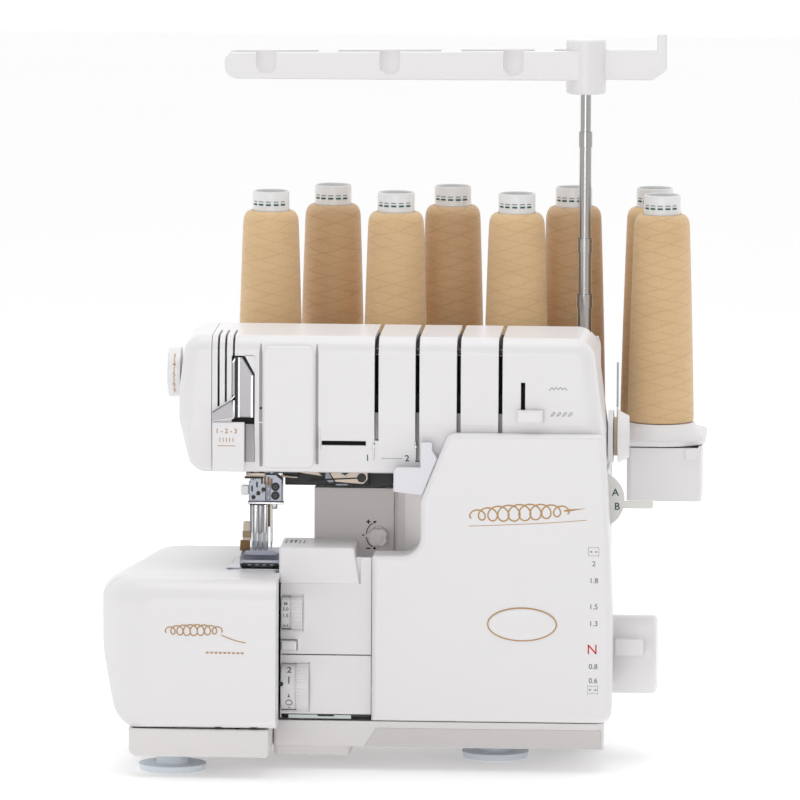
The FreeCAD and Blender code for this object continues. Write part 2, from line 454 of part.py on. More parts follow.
def make_column():
    corners = {1: "cover_corner", 3: "5", 4: "8", 6: "cover_inner_round", 7: "2"}
    outer = prism("cover_outer_body", "XZ", cover_outline("0"), ("cover_face", "cover_back"), corners,
                  ("4.2", lambda middle: middle.z > number("cover_low") + 1))
    hollow_corners = {1: "cover_corner - 2", 6: "cover_inner_round + wall"}
    hollow = prism("cover_hollow", "XZ", cover_outline("wall + 1"), ("cover_face + wall + 1", "cover_back + 1"),
                   hollow_corners)
    head_room = prism("head_room", "YZ", [
        ("head_face - 0.3", "head_crease + 9"), ("head_face - 0.3", "head_crease"), ("head_chin - 0.2", "head_low - 0.6"),
        ("cover_back + 2", "head_low - 0.6"), ("cover_back + 2", "head_crease + 9")],
        ("cover_shelf_left - 3", "cover_right + 3"))
    node("front_cover", cut("front_cover", outer, hollow, head_room))
    plan = [("trim_right + 4.5", "trim_front"), ("casing_right", "trim_front"), ("casing_right", "casing_back"),
            ("casing_left", "casing_back"), ("casing_left", "inner_face + 6")]
    inside = [("trim_right + 8", "trim_front - 1"), ("casing_right - wall", "trim_front - 1"),
              ("casing_right - wall", "casing_back - wall"), ("casing_left + wall", "casing_back - wall"),
              ("casing_left + wall", "inner_face + 8")]
    shell = prism("casing_outer", "XY", plan, ("base_top + 1", "casing_top"), {2: "14"})
    hollow = prism("casing_inner", "XY", inside, ("base_top", "casing_top + 1"), {2: "11.5"})
    side = ("casing_right - 12", "casing_right + 2")
    shaft_hole = rod("shaft_hole", "x", ("hand_y", "hand_z"), side, "shaft_radius + 3.5")
    inner_hole = rod("inner_shaft_hole", "x", ("hand_y", "hand_z"), ("casing_left - 5", "casing_left + 30"),
                     "shaft_radius + 3.5")
    arc = cut("feed_slot_ring",
              rod("feed_slot_out", "x", ("feed_pivot_y", "feed_pivot_z"), side, "feed_reach + 5"),
              rod("feed_slot_in", "x", ("feed_pivot_y", "feed_pivot_z"), side, "feed_reach - 5"))
    window = box("feed_slot_part", side, ("feed_pivot_y - feed_reach - 9", "feed_pivot_y - feed_reach + 44"),
                 ("feed_pivot_z - 19", "feed_pivot_z + 81"))
    disc_slot = box("disc_slot", ("casing_right - 16", "casing_right + 2"),
                    ("thread_disc_y - thread_disc_half - 0.6", "thread_disc_y + thread_disc_half + 0.6"),
                    ("thread_disc_z - 22", "casing_top + 1"))
    inlet_hole = box("inlet_hole", ("inlet_left", "inlet_left + 28"), ("casing_back - 5", "casing_back + 1"),
                     ("inlet_low", "inlet_low + 20"))
    node("column_casing", cut("column_casing", shell, hollow, shaft_hole, inner_hole, common("feed_slot", arc, window), disc_slot,
                              inlet_hole))
    panel = box("inner_panel_body", ("inner_left", "deck_right"), ("inner_face", "bed_back"),
                ("bed_top + 0.2", "inner_top"))
    panel_hollow = box("inner_panel_hollow", ("inner_left + wall", "deck_right + 1"),
                       ("inner_face + wall", "bed_back - wall"), ("bed_top - 1", "inner_top - wall"))
    stud_hole = rod("star_hole", "y", ("star_x", "star_z"), ("inner_face - 1", "inner_face + 8"), "2 + fit")
    deck = box("inner_deck", ("panel_left", "deck_right"), ("deck_front", "bed_back"), ("bed_top - 4", "bed_top + 0.2"))
    upright_panel = fuse("panel_and_deck", deck, cut("panel_walls", panel, panel_hollow, stud_hole))
    trim = [("deck_right + 0.3", "inner_face"), ("deck_right + 1.2", "inner_face - 14"),
            ("deck_right + 4.2", "inner_face - 29"), ("deck_right + 10.5", "inner_face - 45"),
            ("trim_right", "trim_front"), ("trim_right + 3.8", "trim_front"), ("deck_right + 14", "inner_face - 44"),
            ("deck_right + 8", "inner_face - 29"), ("deck_right + 4.5", "inner_face - 14"),
            ("deck_right + 1.2", "inner_face + 6"), ("deck_right + 0.3", "inner_face + 6")]
    node("inner_panel", group("inner_panel", [
        upright_panel, prism("corner_trim", "XY", trim, ("bed_top + 0.2", "casing_top"))]))
    bracket = [("cover_neck - 20", "casing_top - 10.5"), ("cover_neck - 20", "head_low + 6.5"),
               ("cover_neck - 0.4", "head_low + 6.5"), ("cover_neck - 0.4", "head_low + 25"),
               ("cover_neck + 8.3", "head_low + 25"), ("cover_neck + 8.3", "head_low + 19"),
               ("cover_neck + 12", "head_low + 13"), ("cover_neck + 1", "casing_top - 13")]
    node("thread_bracket", prism("thread_bracket", "XZ", bracket, ("head_face - 5", "head_face - 1.6"),
                                 {1: "4", 3: "1", 4: "1.5"}, ("0.8", lambda middle: True)))
    hub = rod("star_hub", "y", ("star_x", "star_z"), ("star_front", "inner_face - 1"), "star_radius")
    scallops = [rod("star_scallop", "y", (f"star_x + {x} * (star_radius + 2.9)", f"star_z + {z} * (star_radius + 2.9)"),
                    ("star_front - 1", "inner_face - 4"), "4.2") for x, z in ((1, 0), (0, 1), (-1, 0), (0, -1))]
    button = rod("star_button", "y", ("star_x", "star_z"), ("star_front - 0.7", "star_front + 1"), "3.4")
    pointer = prism("star_pointer", "XZ", [
        ("star_x - star_radius + 1", "star_z + 3"), ("star_x - star_radius - 4.1", "star_z"),
        ("star_x - star_radius + 1", "star_z - 3")], ("inner_face - 3", "inner_face - 1"))
    stud = rod("star_stud", "y", ("star_x", "star_z"), ("inner_face - 2", "inner_face + 7"), "2")
    node("star_knob", fuse("star_knob", cut("star_grip", hub, *scallops), button, pointer, stud))


# ---------------------------------------------------------------- head
def head_block(name, inset):
    """The head and its end cap as one solid, made smaller all round by inset."""
    left, right = f"cap_left + {inset}", f"- {inset}"
    outline = [
        (f"cap_left + 9 + {inset}", f"head_low + {inset}"), (f"head_right {right}", f"head_low + {inset}"),
        (f"head_right {right}", "head_crease - 8"), (f"head_right - 3 {right}", "head_mid_z"),
        (f"head_right - 9 {right}", f"head_top {right}"), (f"cap_left + 5 + {inset}", f"head_top {right}"),
        (left, "head_mid_z + 8"), (left, "head_crease")]
    corners = {0: "cap_low_round", 4: "16", 5: "cap_end_round + 4"}
    low = number("head_low") + 2 + number(inset)
    block = prism(name + "_block", "XZ", outline, (f"head_face + {inset}", f"head_back - {inset}"), corners,
                  (f"head_round - {inset}", lambda middle: middle.z > low))
    chin = prism(name + "_chin", "YZ", [
        (f"head_face + {inset} - 9", "head_crease + 9"), (f"head_face + {inset} - 9", "head_low - 2"),
        (f"head_chin + {inset} + 0.3", "head_low - 2"), (f"head_face + {inset}", "head_crease")],
        ("cap_left - 5", "head_right + 5"))
    return cut(name, block, chin)


def make_head():
    outer = head_block("head_outer", "0")
    inner = head_block("head_inner", "head_wall")
    back_open = box("head_back_open", ("cap_left + 12", "head_right - 13"), ("head_back - 5", "head_back + 1"),
                    ("head_low + head_wall", "head_top - head_wall"))
    shell = cut("head_shell", outer, inner, back_open)
    side = box("cap_part", ("cap_left - 1", "head_left - 0.2"), ("head_face - 1", "head_back + 1"),
               ("head_low - 1", "head_top + 1"))
    rest = box("casing_part", ("head_left + 0.2", "head_right + 1"), ("head_face - 1", "head_back + 1"),
               ("head_low - 1", "head_top + 1"))
    dial_hole = rod("dial_hole", "x", ("dial_y", "dial_z"), ("cap_left - 5", "cap_left + 9"), "4.3")
    node("head_end_cap", cut("head_end_cap", common("cap_shell", shell, side), dial_hole))
    front = ("head_face - 2", "head_back + 1")
    cuts = []
    for x, low in (("slot_one", "slot_one_low"), ("slot_two", "slot_two_low"), ("slot_three", "slot_far_low"),
                   ("slot_four", "slot_far_low")):
        cuts.append(box("threading_slot", (f"{x} - slot_wide / 2", f"{x} + slot_wide / 2"), front,
                        (low, "head_top + 1")))
    for x, low in (("groove_one", "groove_one_low"), ("groove_two", "groove_two_low"),
                   ("groove_three", "groove_three_low")):
        cuts.append(box("groove", (f"{x} - groove_wide / 2", f"{x} + groove_wide / 2"),
                        ("head_face - 2", "head_face + 40"), (low, "head_top + 1")))
    ahead = ("head_face - 2", "head_face + 12")
    cuts.append(box("plate_window", ("window_left", "window_right"), ahead, ("window_low", "window_top")))
    cuts.append(box("lamp_slot", ("lamp_slot_left", "lamp_slot_right"), ahead, ("lamp_slot_low", "lamp_slot_top")))
    cuts.append(box("lever_slot", ("lever_slot_left", "lever_slot_right"), ahead,
                    ("lever_slot_low", "lever_slot_top")))
    cuts.append(box("bar_opening", ("clamp_left - 4", "clamp_left + 22"), ("needle_y - 9", "presser_y + 8"),
                    ("head_low - 1", "head_low + head_wall + 1")))
    node("head_casing", cut("head_casing", common("casing_shell", shell, rest), *cuts))
    raised = prism("raised_body", "XZ", [
        ("raised_left", "raised_low"), ("raised_right", "raised_low"), ("raised_right", "raised_top"),
        ("raised_left", "raised_top")], ("raised_face", "head_face + 9"), {0: "5", 1: "5", 2: "6", 3: "6"},
        ("2", lambda middle: True))
    node("needle_cover", cut("needle_cover", raised, outer))
    flap = prism("flap_body", "XZ", [
        ("head_left + 0.6", "flap_low"), ("flap_right", "flap_low"), ("flap_right", "flap_top"),
        ("head_left + 0.6", "flap_top")], ("flap_face", "head_face + 9"), {0: "1", 1: "1"}, ("0.8", lambda middle: True))
    flap_piece = cut("guide_flap", flap, outer,
                     box("flap_window", ("window_left - 1", "window_right"), ("head_face - 0.4", "head_face + 20"),
                         ("flap_low - 1", "flap_top + 1")))
    wedge = prism("wedge_body", "XZ", [
        ("head_left + 0.6", "flap_top + 0.3"), ("groove_three + 0.4", "flap_top + 2.6"),
        ("groove_three - 1.5", "groove_two_low + 2"), ("head_left + 0.6", "flap_top + 7.6")],
        ("head_face - 3.2", "head_face + 0.1"), None, ("0.8", lambda middle: True))
    node("guide_flap", group("guide_flap", [flap_piece, cut("thread_cutter", wedge, outer)]))
    plate = prism("take_up_body", "XZ", [
        ("window_left + 3.2", "window_low + 33"), ("window_right - 1", "window_low + 33"),
        ("window_right - 1", "window_top - 14"), ("window_left + 8", "window_top - 1"),
        ("window_left + 3.2", "window_top - 1")], ("head_face - 0.6", "head_face + 3.4"), None,
        ("1.1", lambda middle: True))
    node("take_up_plate", plate)
    liner = box("window_liner", ("window_left - 0.5", "window_right + 0.5"), ("head_face + 13", "head_face + 15"),
                ("window_low - 0.5", "window_top + 0.5"))
    grip = soften("lever_grip", box("lever_grip_body", ("knob_left", "knob_right"), ("knob_front", "head_face - 0.6"),
                                    ("knob_low", "knob_top")), "1.8",
                  lambda edge: flat_at(edge, 1, number("knob_front")))
    stem = box("lever_stem", ("lever_slot_left + 0.4", "lever_slot_right - 0.4"), ("head_face - 2", "head_face + 9"),
               ("knob_low + 2", "knob_top - 2"))
    node("mode_lever", fuse("mode_lever", grip, stem))
    dial = rod("dial_body", "x", ("dial_y", "dial_z"), ("dial_left", "dial_right"), "dial_radius")
    dial_rim = soften("dial_rim", dial, "1.5", lambda edge: flat_at(edge, 0, number("dial_left")))
    dial_stub = rod("dial_stub", "x", ("dial_y", "dial_z"), ("dial_right - 1", "dial_right + 12"), "4.2")
    node("presser_dial", fuse("presser_dial", dial_rim, dial_stub))
    arm_outline = [("head_back + gap", "arm_low"), ("arm_back", "arm_low"), ("arm_back", "arm_back_top"),
                   ("head_back + gap", "arm_top")]
    arm = prism("arm_outer", "YZ", arm_outline, ("arm_left", "casing_right - 9"), {1: "10", 2: "16"})
    arm_hollow = box("arm_hollow", ("arm_left + wall", "casing_right - 9 - wall"), ("head_back", "arm_back - wall"),
                     ("arm_low + wall", "arm_back_top - wall - 4"))
    node("rear_arm_cover", cut("rear_arm_cover", arm, arm_hollow))
    chassis = box("chassis_body", ("bar_x + bar_radius + 2", "slot_four + 10"), ("head_face + 20", "head_back - 22"),
                  ("head_low + head_wall + 0.5", "head_top - 15"))
    grooves = [box("thread_path", (f"{x} - 1.6", f"{x} + 1.6"), ("head_face + 19", "head_face + 34"),
                   ("head_crease + 20", "head_top"))
               for x in ("slot_one", "slot_two", "slot_three", "slot_four")]
    under = box("under_frame_body", ("clamp_right + 1.5", "deck_right"), ("needle_y + 8", "casing_back - 8"),
                ("inner_top + 6", "head_low - 0.6"))
    lift_hole = rod("lift_pin_hole", "x", ("lift_y", "lift_z"), ("clamp_right", "clamp_right + 9"), "2")
    node("head_chassis", group("head_chassis", [
        cut("chassis", chassis, *grooves), liner, cut("under_frame", under, lift_hole)]))


# ---------------------------------------------------------------- needles, presser, loopers
def make_needle_area():
    clamp = prism("clamp_body", "XZ", [
        ("clamp_left", "clamp_low"), ("clamp_right", "clamp_low"), ("clamp_right", "clamp_top - 4"),
        ("clamp_right - 5", "clamp_top"), ("clamp_left + 9", "clamp_top"), ("clamp_left", "clamp_top - 6")],
        ("clamp_front", "clamp_back"), None, ("0.8", lambda middle: True))
    holes = [rod("clamp_hole", "y", (f"clamp_left + 3 + {3.7 * step}", f"clamp_low + 4.6 + {2.6 * step}"),
                 ("clamp_front - 1", "clamp_front + 4"), "1.2") for step in range(3)]
    seats = [rod("needle_seat", "z", (f"needle_first + {step} * needle_pitch", "needle_y"),
                 ("clamp_low - 1", "clamp_low + 5"), "needle_radius") for step in range(5)]
    needle_bar = rod("needle_bar", "z", ("bar_x", "needle_y"), ("clamp_top - 8", "bar_top"), "bar_radius")
    node("needle_clamp", fuse("needle_clamp", cut("clamp_block", clamp, *holes, *seats), needle_bar))
    needles = []
    for step in range(5):
        x = f"needle_first + {step} * needle_pitch"
        shank = rod("needle_shank", "z", (x, "needle_y"), ("needle_tip + 4", "clamp_low + 5"), "needle_radius")
        point = taper("needle_point", "z", (x, "needle_y"), ("needle_tip", "needle_tip + 4"), "0.1", "needle_radius")
        needles.append(fuse("needle", shank, point))
    node("needles", group("needles", needles))
    shank = box("shank_body", ("presser_x - shank_half", "presser_x + shank_half"), ("presser_y - 7", "presser_y - 1"),
                ("foot_low + foot_rise", "clamp_low"))
    head = box("shank_head", ("presser_x - shank_half", "presser_x + shank_half"), ("presser_y - 7", "presser_y + 4"),
               ("clamp_low - 9", "clamp_low"))
    ribs = [box("shank_groove", (f"presser_x - 4.4 + {3.2 * step}", f"presser_x - 3.2 + {3.2 * step}"),
                ("presser_y - 8", "presser_y - 5.6"), ("foot_low + foot_rise + 2", "clamp_low - 2"))
            for step in range(3)]
    bar = rod("presser_rod", "z", ("presser_x", "presser_y"), ("clamp_low - 1", "bar_top - 8"), "presser_radius - 0.5")
    node("presser_bar", fuse("presser_bar", cut("presser_shank", fuse("shank_solid", shank, head), *ribs), bar))
    sole = prism("sole_body", "YZ", [
        ("foot_toe", "foot_low + 2.2"), ("foot_toe + 5", "foot_low"), ("foot_heel", "foot_low"),
        ("foot_heel", "foot_low + foot_rise"), ("foot_toe + 15", "foot_low + foot_rise"), ("foot_toe", "foot_low + 5")],
        ("foot_left_edge", "foot_right_edge"))
    slot = box("foot_slot", ("needle_first - 2", "needle_first + 4 * needle_pitch + 2"),
               ("needle_y - 3.4", "needle_y + 3.4"), ("foot_low - 1", "foot_low + foot_rise + 1"))
    toes = [box("toe_slot", (f"foot_left_edge + {3.4 + 6 * step}", f"foot_left_edge + {7.6 + 6 * step}"),
                ("foot_toe - 1", "needle_y - 6"), ("foot_low - 1", "foot_low + 1.8")) for step in range(4)]
    node("presser_foot", cut("presser_foot", sole, slot, *toes))
    lift = box("lift_arm", ("lift_left", "lift_right"), ("lift_y", "arm_back + 18"), ("lift_z - 3", "lift_z + 3"))
    eye = rod("lift_eye", "x", ("lift_y", "lift_z"), ("lift_left", "lift_right"), "6")
    lift_bore = rod("lift_bore", "x", ("lift_y", "lift_z"), ("lift_left - 1", "lift_right + 1"), "2 + fit")
    node("presser_lever", cut("presser_lever", fuse("lift_solid", lift, eye), lift_bore))
    pivots.append(rod("presser_lever_pin", "x", ("lift_y", "lift_z"), ("lift_left - 1", "lift_right + 12"), "2"))
    dogs = []
    for y in ("needle_y - 19", "needle_y + 27"):
        dogs.append(box("dog_row", ("needle_first - 2", "needle_first + 15"), (f"{y} + 0.8", f"{y} + 3.2"),
                        ("bed_top - 14", "bed_top - 0.4")))
    dogs.append(box("dog_carrier", ("needle_first - 2", "needle_first + 15"), ("needle_y - 19", "needle_y + 30.2"),
                    ("bed_top - 20", "bed_top - 14")))
    node("feed_dogs", fuse("feed_dogs", *dogs))
    for name, x, z, y, tip, sweep in (("lower_looper", "-104", "84", "needle_y - 26", "-8", "46"),
                                      ("upper_looper", "-72", "92", "needle_y - 20", "-18", "40")):
        boss = rod(name + "_boss", "y", (x, z), (y, f"{y} + 8"), "6")
        blade = prism(name + "_blade", "XZ", [
            (f"{x} - 4", z), (f"{x} + 4", z), (f"{x} + 3", f"{z} + {sweep}"), (f"{x} + {tip}", f"{z} + {sweep} + 4"),
            (f"{x} + {tip} + 3", f"{z} + {sweep} - 1"), (f"{x} - 3", f"{z} + {sweep} - 8")], (f"{y} + 2", f"{y} + 5"))
        bore = rod(name + "_bore", "y", (x, z), (f"{y} - 1", f"{y} + 9"), "2 + fit")
        node(name, cut(name, fuse(name + "_solid", boss, blade), bore))
    pivots.append(rod("looper_pin", "y", ("-104", "84"), ("needle_y - 27", "needle_y + 44"), "2"))
    pivots.append(rod("looper_pin", "y", ("-72", "92"), ("needle_y - 21", "needle_y + 44"), "2"))
    brackets.append(cut("looper_bracket", box(
        "looper_bracket_body", ("-118", "-60"), ("needle_y + 38.2", "needle_y + 44"), ("base_top", "100")),
        rod("looper_hole", "y", ("-104", "84"), ("needle_y + 37", "needle_y + 45"), "2"),
        rod("looper_hole", "y", ("-72", "92"), ("needle_y + 37", "needle_y + 45"), "2"),
        rod("bracket_shaft_hole", "y", ("-90", "60"), ("needle_y + 37", "needle_y + 45"), "3")))
    node("upper_knife", box("upper_knife", ("box_right - 3.6", "box_right - 1.8"), ("plate_front - 14", "plate_front - 2"),
                            ("bed_top - 30", "bed_top - 3.5")))


# ---------------------------------------------------------------- drive and side controls
def belt_band(name, extra, span):
    """The solid round both pulleys at a distance outside them, with straight flanks between."""
    big, small = number("pulley_radius") + extra, number("motor_pulley_radius") + extra
    first, second = V(number("hand_y"), number("hand_z"), 0), V(number("motor_y"), number("motor_z"), 0)
    line = second.sub(first)
    lean = math.acos((big - small) / line.Length)
    heading = math.atan2(line.y, line.x)
    touch = []
    for centre, radius, sign in ((first, big, 1), (second, small, 1), (second, small, -1), (first, big, -1)):
        angle = heading + sign * lean
        touch.append(V(span[0], centre.x + radius * math.cos(angle), centre.y + radius * math.sin(angle)))
    flank = Part.Face(Part.makePolygon(touch + touch[:1])).extrude(V(span[1] - span[0], 0, 0))
    ends = [Part.makeCylinder(radius, span[1] - span[0], V(span[0], centre.x, centre.y), V(1, 0, 0))
            for centre, radius in ((first, big), (second, small))]
    return flank.fuse(ends).removeSplitter()


def make_drive():
    axle = ("hand_y", "hand_z")
    node("main_shaft", fuse("main_shaft", rod("shaft_rod", "x", axle, ("shaft_left", "hand_right - 6"), "shaft_radius"),
                            rod("shaft_pulley", "x", axle, ("pulley_left", "pulley_right"), "pulley_radius")))
    rim = rod("hand_body", "x", axle, ("hand_left", "hand_right"), "hand_radius")
    rounded = soften("hand_rounded", rim, "hand_round", lambda edge: flat_at(edge, 0, number("hand_right")))
    dish = rod("hand_dish", "x", axle, ("hand_left - 1", "hand_left + 20"), "hand_radius - 4")
    boss = rod("hand_boss", "x", axle, ("hand_left + 0.5", "hand_right - 4"), "shaft_radius + 5")
    bore = rod("hand_bore", "x", axle, ("hand_left - 2", "hand_right - 6"), "shaft_radius")
    node("handwheel", cut("handwheel", fuse("hand_solid", cut("hand_shell", rounded, dish), boss), bore))
    for x in ("casing_left + 36", "pulley_left - 10", "deck_right - 50"):
        body = box("bearing_body", (x, f"{x} + 8"), ("hand_y - 14", "hand_y + 14"), ("base_top", "hand_z + 14"))
        brackets.append(cut("bearing_block", body, rod("bearing_hole", "x", axle, (f"{x} - 1", f"{x} + 9"),
                                                       "shaft_radius + fit")))
    spindle = ("motor_y", "motor_z")
    node("motor", cut("motor", rod("motor_body", "x", spindle, ("motor_left", "motor_right"), "motor_radius"),
                      rod("motor_bore", "x", spindle, ("motor_right - 20", "motor_right + 1"), "3 + fit")))
    mount = box("mount_body", ("motor_left + 12", "motor_right - 12"), ("motor_y - 16", "motor_y + 16"),
                ("base_top", "motor_z - 18"))
    brackets.append(cut("motor_mount", mount, rod("mount_cradle", "x", spindle, ("motor_left", "motor_right"),
                                                      "motor_radius")))
    wheel = rod("motor_wheel", "x", spindle, ("pulley_left", "pulley_right"), "motor_pulley_radius")
    pin = rod("motor_pin", "x", spindle, ("motor_right - 19", "pulley_right"), "3")
    node("motor_pulley", fuse("motor_pulley", wheel, pin))
    belt = doc.addObject("Part::Feature", "drive_belt")
    air, thick = number("belt_air"), number("belt_thick")
    span = (number("pulley_left") + 1.5, number("pulley_right") - 1.5)
    wider = (span[0] - 1, span[1] + 1)
    belt.Shape = belt_band("out", air + thick, span).cut(belt_band("in", air, wider))
    node("drive_belt", belt)
    make_feed_lever()
    make_thread_lever()
    make_tension_wheel()
    inlet = box("inlet_body", ("inlet_left + 0.4", "inlet_left + 27.6"), ("casing_back - 14", "casing_back + 0.8"),
                ("inlet_low + 0.4", "inlet_low + 19.6"))
    well = box("inlet_well", ("inlet_left + 4", "inlet_left + 24"), ("casing_back - 9", "casing_back + 2"),
               ("inlet_low + 4", "inlet_low + 16"))
    blades = [box("inlet_blade", (f"inlet_left + {8 + 10 * step}", f"inlet_left + {10 + 10 * step}"),
                  ("casing_back - 9.5", "casing_back - 2"), ("inlet_low + 8", "inlet_low + 12")) for step in range(2)]
    node("power_inlet", fuse("power_inlet", cut("inlet_shell", inlet, well), *blades))


def make_feed_lever():
    """The differential feed lever: a bent plate on an inside pivot, with a finger tab out of the side."""
    pivot = ("feed_pivot_y", "feed_pivot_z")
    elbow = (number("feed_reach") * math.cos(math.radians(21)), number("feed_reach") * math.sin(math.radians(21)))
    far_y, far_z = f"feed_pivot_y - {elbow[0]:.2f}", f"feed_pivot_z + {elbow[1]:.2f}"
    plate_span = ("feed_plate_left", "feed_plate_right")
    spoke = prism("feed_spoke", "YZ", [
        ("feed_pivot_y + 2", "feed_pivot_z - 3"), ("feed_pivot_y + 4", "feed_pivot_z + 5"),
        (f"{far_y} - 2", f"{far_z} + 4"), (f"{far_y} - 8", f"{far_z}"), ("feed_pivot_y - feed_reach - 3", "hand_z + 14"),
        ("feed_pivot_y - feed_reach - 3", "hand_z + 4"), ("feed_pivot_y - feed_reach + 4", "hand_z + 4"),
        (f"{far_y} + 3", f"{far_z} - 7")], plate_span)
    boss = rod("feed_boss", "x", pivot, plate_span, "6")
    bore = rod("feed_bore", "x", pivot, ("feed_plate_left - 1", "feed_plate_right + 1"), "2.5 + fit")
    neck = box("feed_neck", ("feed_plate_left", "feed_tab_right - 4"), ("feed_pivot_y - feed_reach - 2", "feed_pivot_y - feed_reach + 2"),
               ("hand_z + 6", "hand_z + 14"))
    tab = soften("feed_tab", box("feed_tab_body", ("feed_tab_left", "feed_tab_right"),
                                 ("feed_pivot_y - feed_reach - 3", "feed_pivot_y - feed_reach + 2.4"),
                                 ("hand_z + 4", "hand_z + 16")), "2",
                 lambda edge: flat_at(edge, 0, number("feed_tab_right")))
    node("feed_lever", cut("feed_lever", fuse("feed_solid", spoke, boss, neck, tab), bore))
    pivots.append(rod("feed_lever_pin", "x", pivot, ("feed_plate_left - 10", "feed_plate_right + 1"), "2.5"))
    brackets.append(cut("feed_lever_post", box(
        "feed_post_body", ("feed_plate_left - 6", "feed_plate_left - 1"), ("feed_pivot_y - 7", "feed_pivot_y + 7"),
        ("base_top", "feed_pivot_z + 8")), rod("feed_post_hole", "x", pivot, (
            "feed_plate_left - 7", "feed_plate_left"), "2.5")))


def make_thread_lever():
    """The looper thread lever: a lettered disc that stands out of the side wall, with a stub to push."""
    centre = ("thread_disc_x", "thread_disc_z")
    span = ("thread_disc_y - thread_disc_half", "thread_disc_y + thread_disc_half")
    disc = rod("thread_disc", "y", centre, span, "thread_disc_radius")
    bore = rod("thread_disc_bore", "y", centre, ("thread_disc_y - 4", "thread_disc_y + 4"), "3 + fit")
    stub = soften("thread_stub", box("thread_stub_body", ("thread_disc_x + thread_disc_radius - 4", "thread_lever_right"), span,
                                     ("thread_disc_z - 5.6", "thread_disc_z - 0.8")), "1.5",
                  lambda edge: flat_at(edge, 0, number("thread_lever_right")))
    node("thread_lever", cut("thread_lever", fuse("thread_lever_solid", disc, stub), bore))
    pivots.append(rod("thread_lever_pin", "y", centre, ("thread_disc_y - 5", "thread_disc_y + 20"), "3"))
    brackets.append(cut("thread_lever_bracket", box(
        "thread_bracket_body", ("thread_disc_x - 12", "thread_disc_x + 4"), ("thread_disc_y + 14", "thread_disc_y + 18"),
        ("thread_disc_z - 12", "casing_top - 0.5")), rod("thread_bracket_hole", "y", centre, (
            "thread_disc_y + 13", "thread_disc_y + 19"), "3")))


def make_tension_wheel():
    """The thread guide on the head's right end: a flange, a ribbed hub and a tapered outer disc."""
    centre = ("tension_y", "tension_z")
    spindle = rod("tension_spindle", "x", centre, ("head_right", "tension_right - 3"), "3")
    flange = rod("tension_flange", "x", centre, ("tension_left", "tension_mid_left"), "tension_radius")
    hub = rod("tension_hub", "x", centre, ("tension_mid_left + 0.3", "tension_mid_right"), "tension_radius - 6")
    disc = taper("tension_disc", "x", centre, ("tension_mid_right", "tension_right"), "tension_radius", "tension_radius - 4")
    bore = rod("tension_bore", "x", centre, ("tension_left", "tension_right - 2.5"), "3 + fit")
    node("side_guide_wheel", cut("side_guide_wheel", fuse("tension_solid", hub, disc), bore))
    wire = rod("wire_stem", "z", ("tension_mid_right - 1.2", "tension_y + tension_radius - 1.5"),
               ("tension_z", "wire_top"), "0.7")
    foot = rod("wire_foot", "x", ("tension_y + tension_radius - 1.5", "tension_z"), ("tension_left", "tension_mid_right - 0.5"),
               "0.7")
    node("side_guide_flange", fuse("side_guide_flange", spindle, flange, wire, foot))


# ---------------------------------------------------------------- thread stand
FRONT = ("front_one", "front_two", "front_three", "front_four")
REAR = ("rear_one", "rear_two", "rear_three", "rear_four")


def make_stand():
    plate = prism("stand_plate", "XY", [
        ("stand_left", "arm_back + 1.5"), ("bin_left - 8", "arm_back + 1.5"), ("bin_left - 2", "stand_front"),
        ("right_end", "stand_front"), ("right_end", "back_end"), ("stand_left", "back_end")],
        ("stand_low", "stand_top"), {0: "14", 3: "30", 4: "34", 5: "30"})
    seats = []
    for row, names in (("front_row", FRONT), ("rear_row", REAR)):
        for x in names:
            foot = "seat_base_radius" if x == "front_four" else "seat_radius + 1"
            seats.append(taper("seat", "z", (x, row), ("stand_top - 0.5", "seat_top"), foot, "seat_radius"))
    spots = [(x, "front_row") for x in FRONT] + [(x, "rear_row") for x in REAR]
    pins = [rod("spool_pin", "z", spot, ("seat_top - 1", "pin_top"), "pin_radius") for spot in spots]
    node("stand_tray", fuse("stand_tray", plate, *seats, *pins))
    node("thread_cones_front", group("thread_cones_front", [winding(x, "front_row") for x in FRONT]))
    node("thread_cones_rear", group("thread_cones_rear", [winding(x, "rear_row") for x in REAR]))
    node("cone_tubes", group("cone_tubes", [cone_tube(*spot) for spot in spots]))
    shell = prism("bin_outer", "XY", [
        ("bin_left", "stand_front + 1"), ("right_end - 2", "stand_front + 1"), ("right_end - 2", "bin_back"),
        ("bin_left", "bin_back")], ("bin_low", "stand_low - 1"), {0: "4", 1: "4", 2: "4", 3: "4"})
    hollow = box("bin_inner", ("bin_left + wall", "right_end - 2 - wall"), ("stand_front + 1 + wall", "bin_back - wall"),
                 ("bin_low + wall", "stand_low"))
    clip = box("clip_body", ("right_end - bin_post - 2", "right_end - 3"), ("stand_front - 0.6", "stand_front + 2"),
               ("stand_low - 10", "stand_low - 1"))
    node("stand_bin", fuse("stand_bin", cut("bin_shell", shell, hollow), clip))
    arm = box("bracket_plate", ("casing_left + 30", "pole_x + 9"), ("casing_back", "casing_back + 6"),
              ("stand_low - 44", "stand_low"))
    shelf = box("bracket_shelf", ("casing_left + 30", "pole_x + 9"), ("casing_back", "rear_row"),
                ("stand_low - 4", "stand_low"))
    node("stand_bracket", fuse("stand_bracket", arm, shelf))


def winding(x, row):
    """One cone of wound thread, open where its tube goes."""
    body = taper("wound", "z", (x, row), ("seat_top + 0.3", "shoulder"), "cone_base_radius", "cone_top_radius")
    neck = taper("wound_neck", "z", (x, row), ("shoulder", "collar_low"), "cone_top_radius", "collar_radius + 1")
    bore = taper("wound_bore", "z", (x, row), ("seat_top", "collar_low + 0.1"), "collar_radius + 5", "collar_radius")
    return cut("winding", fuse("winding_solid", body, neck), bore)


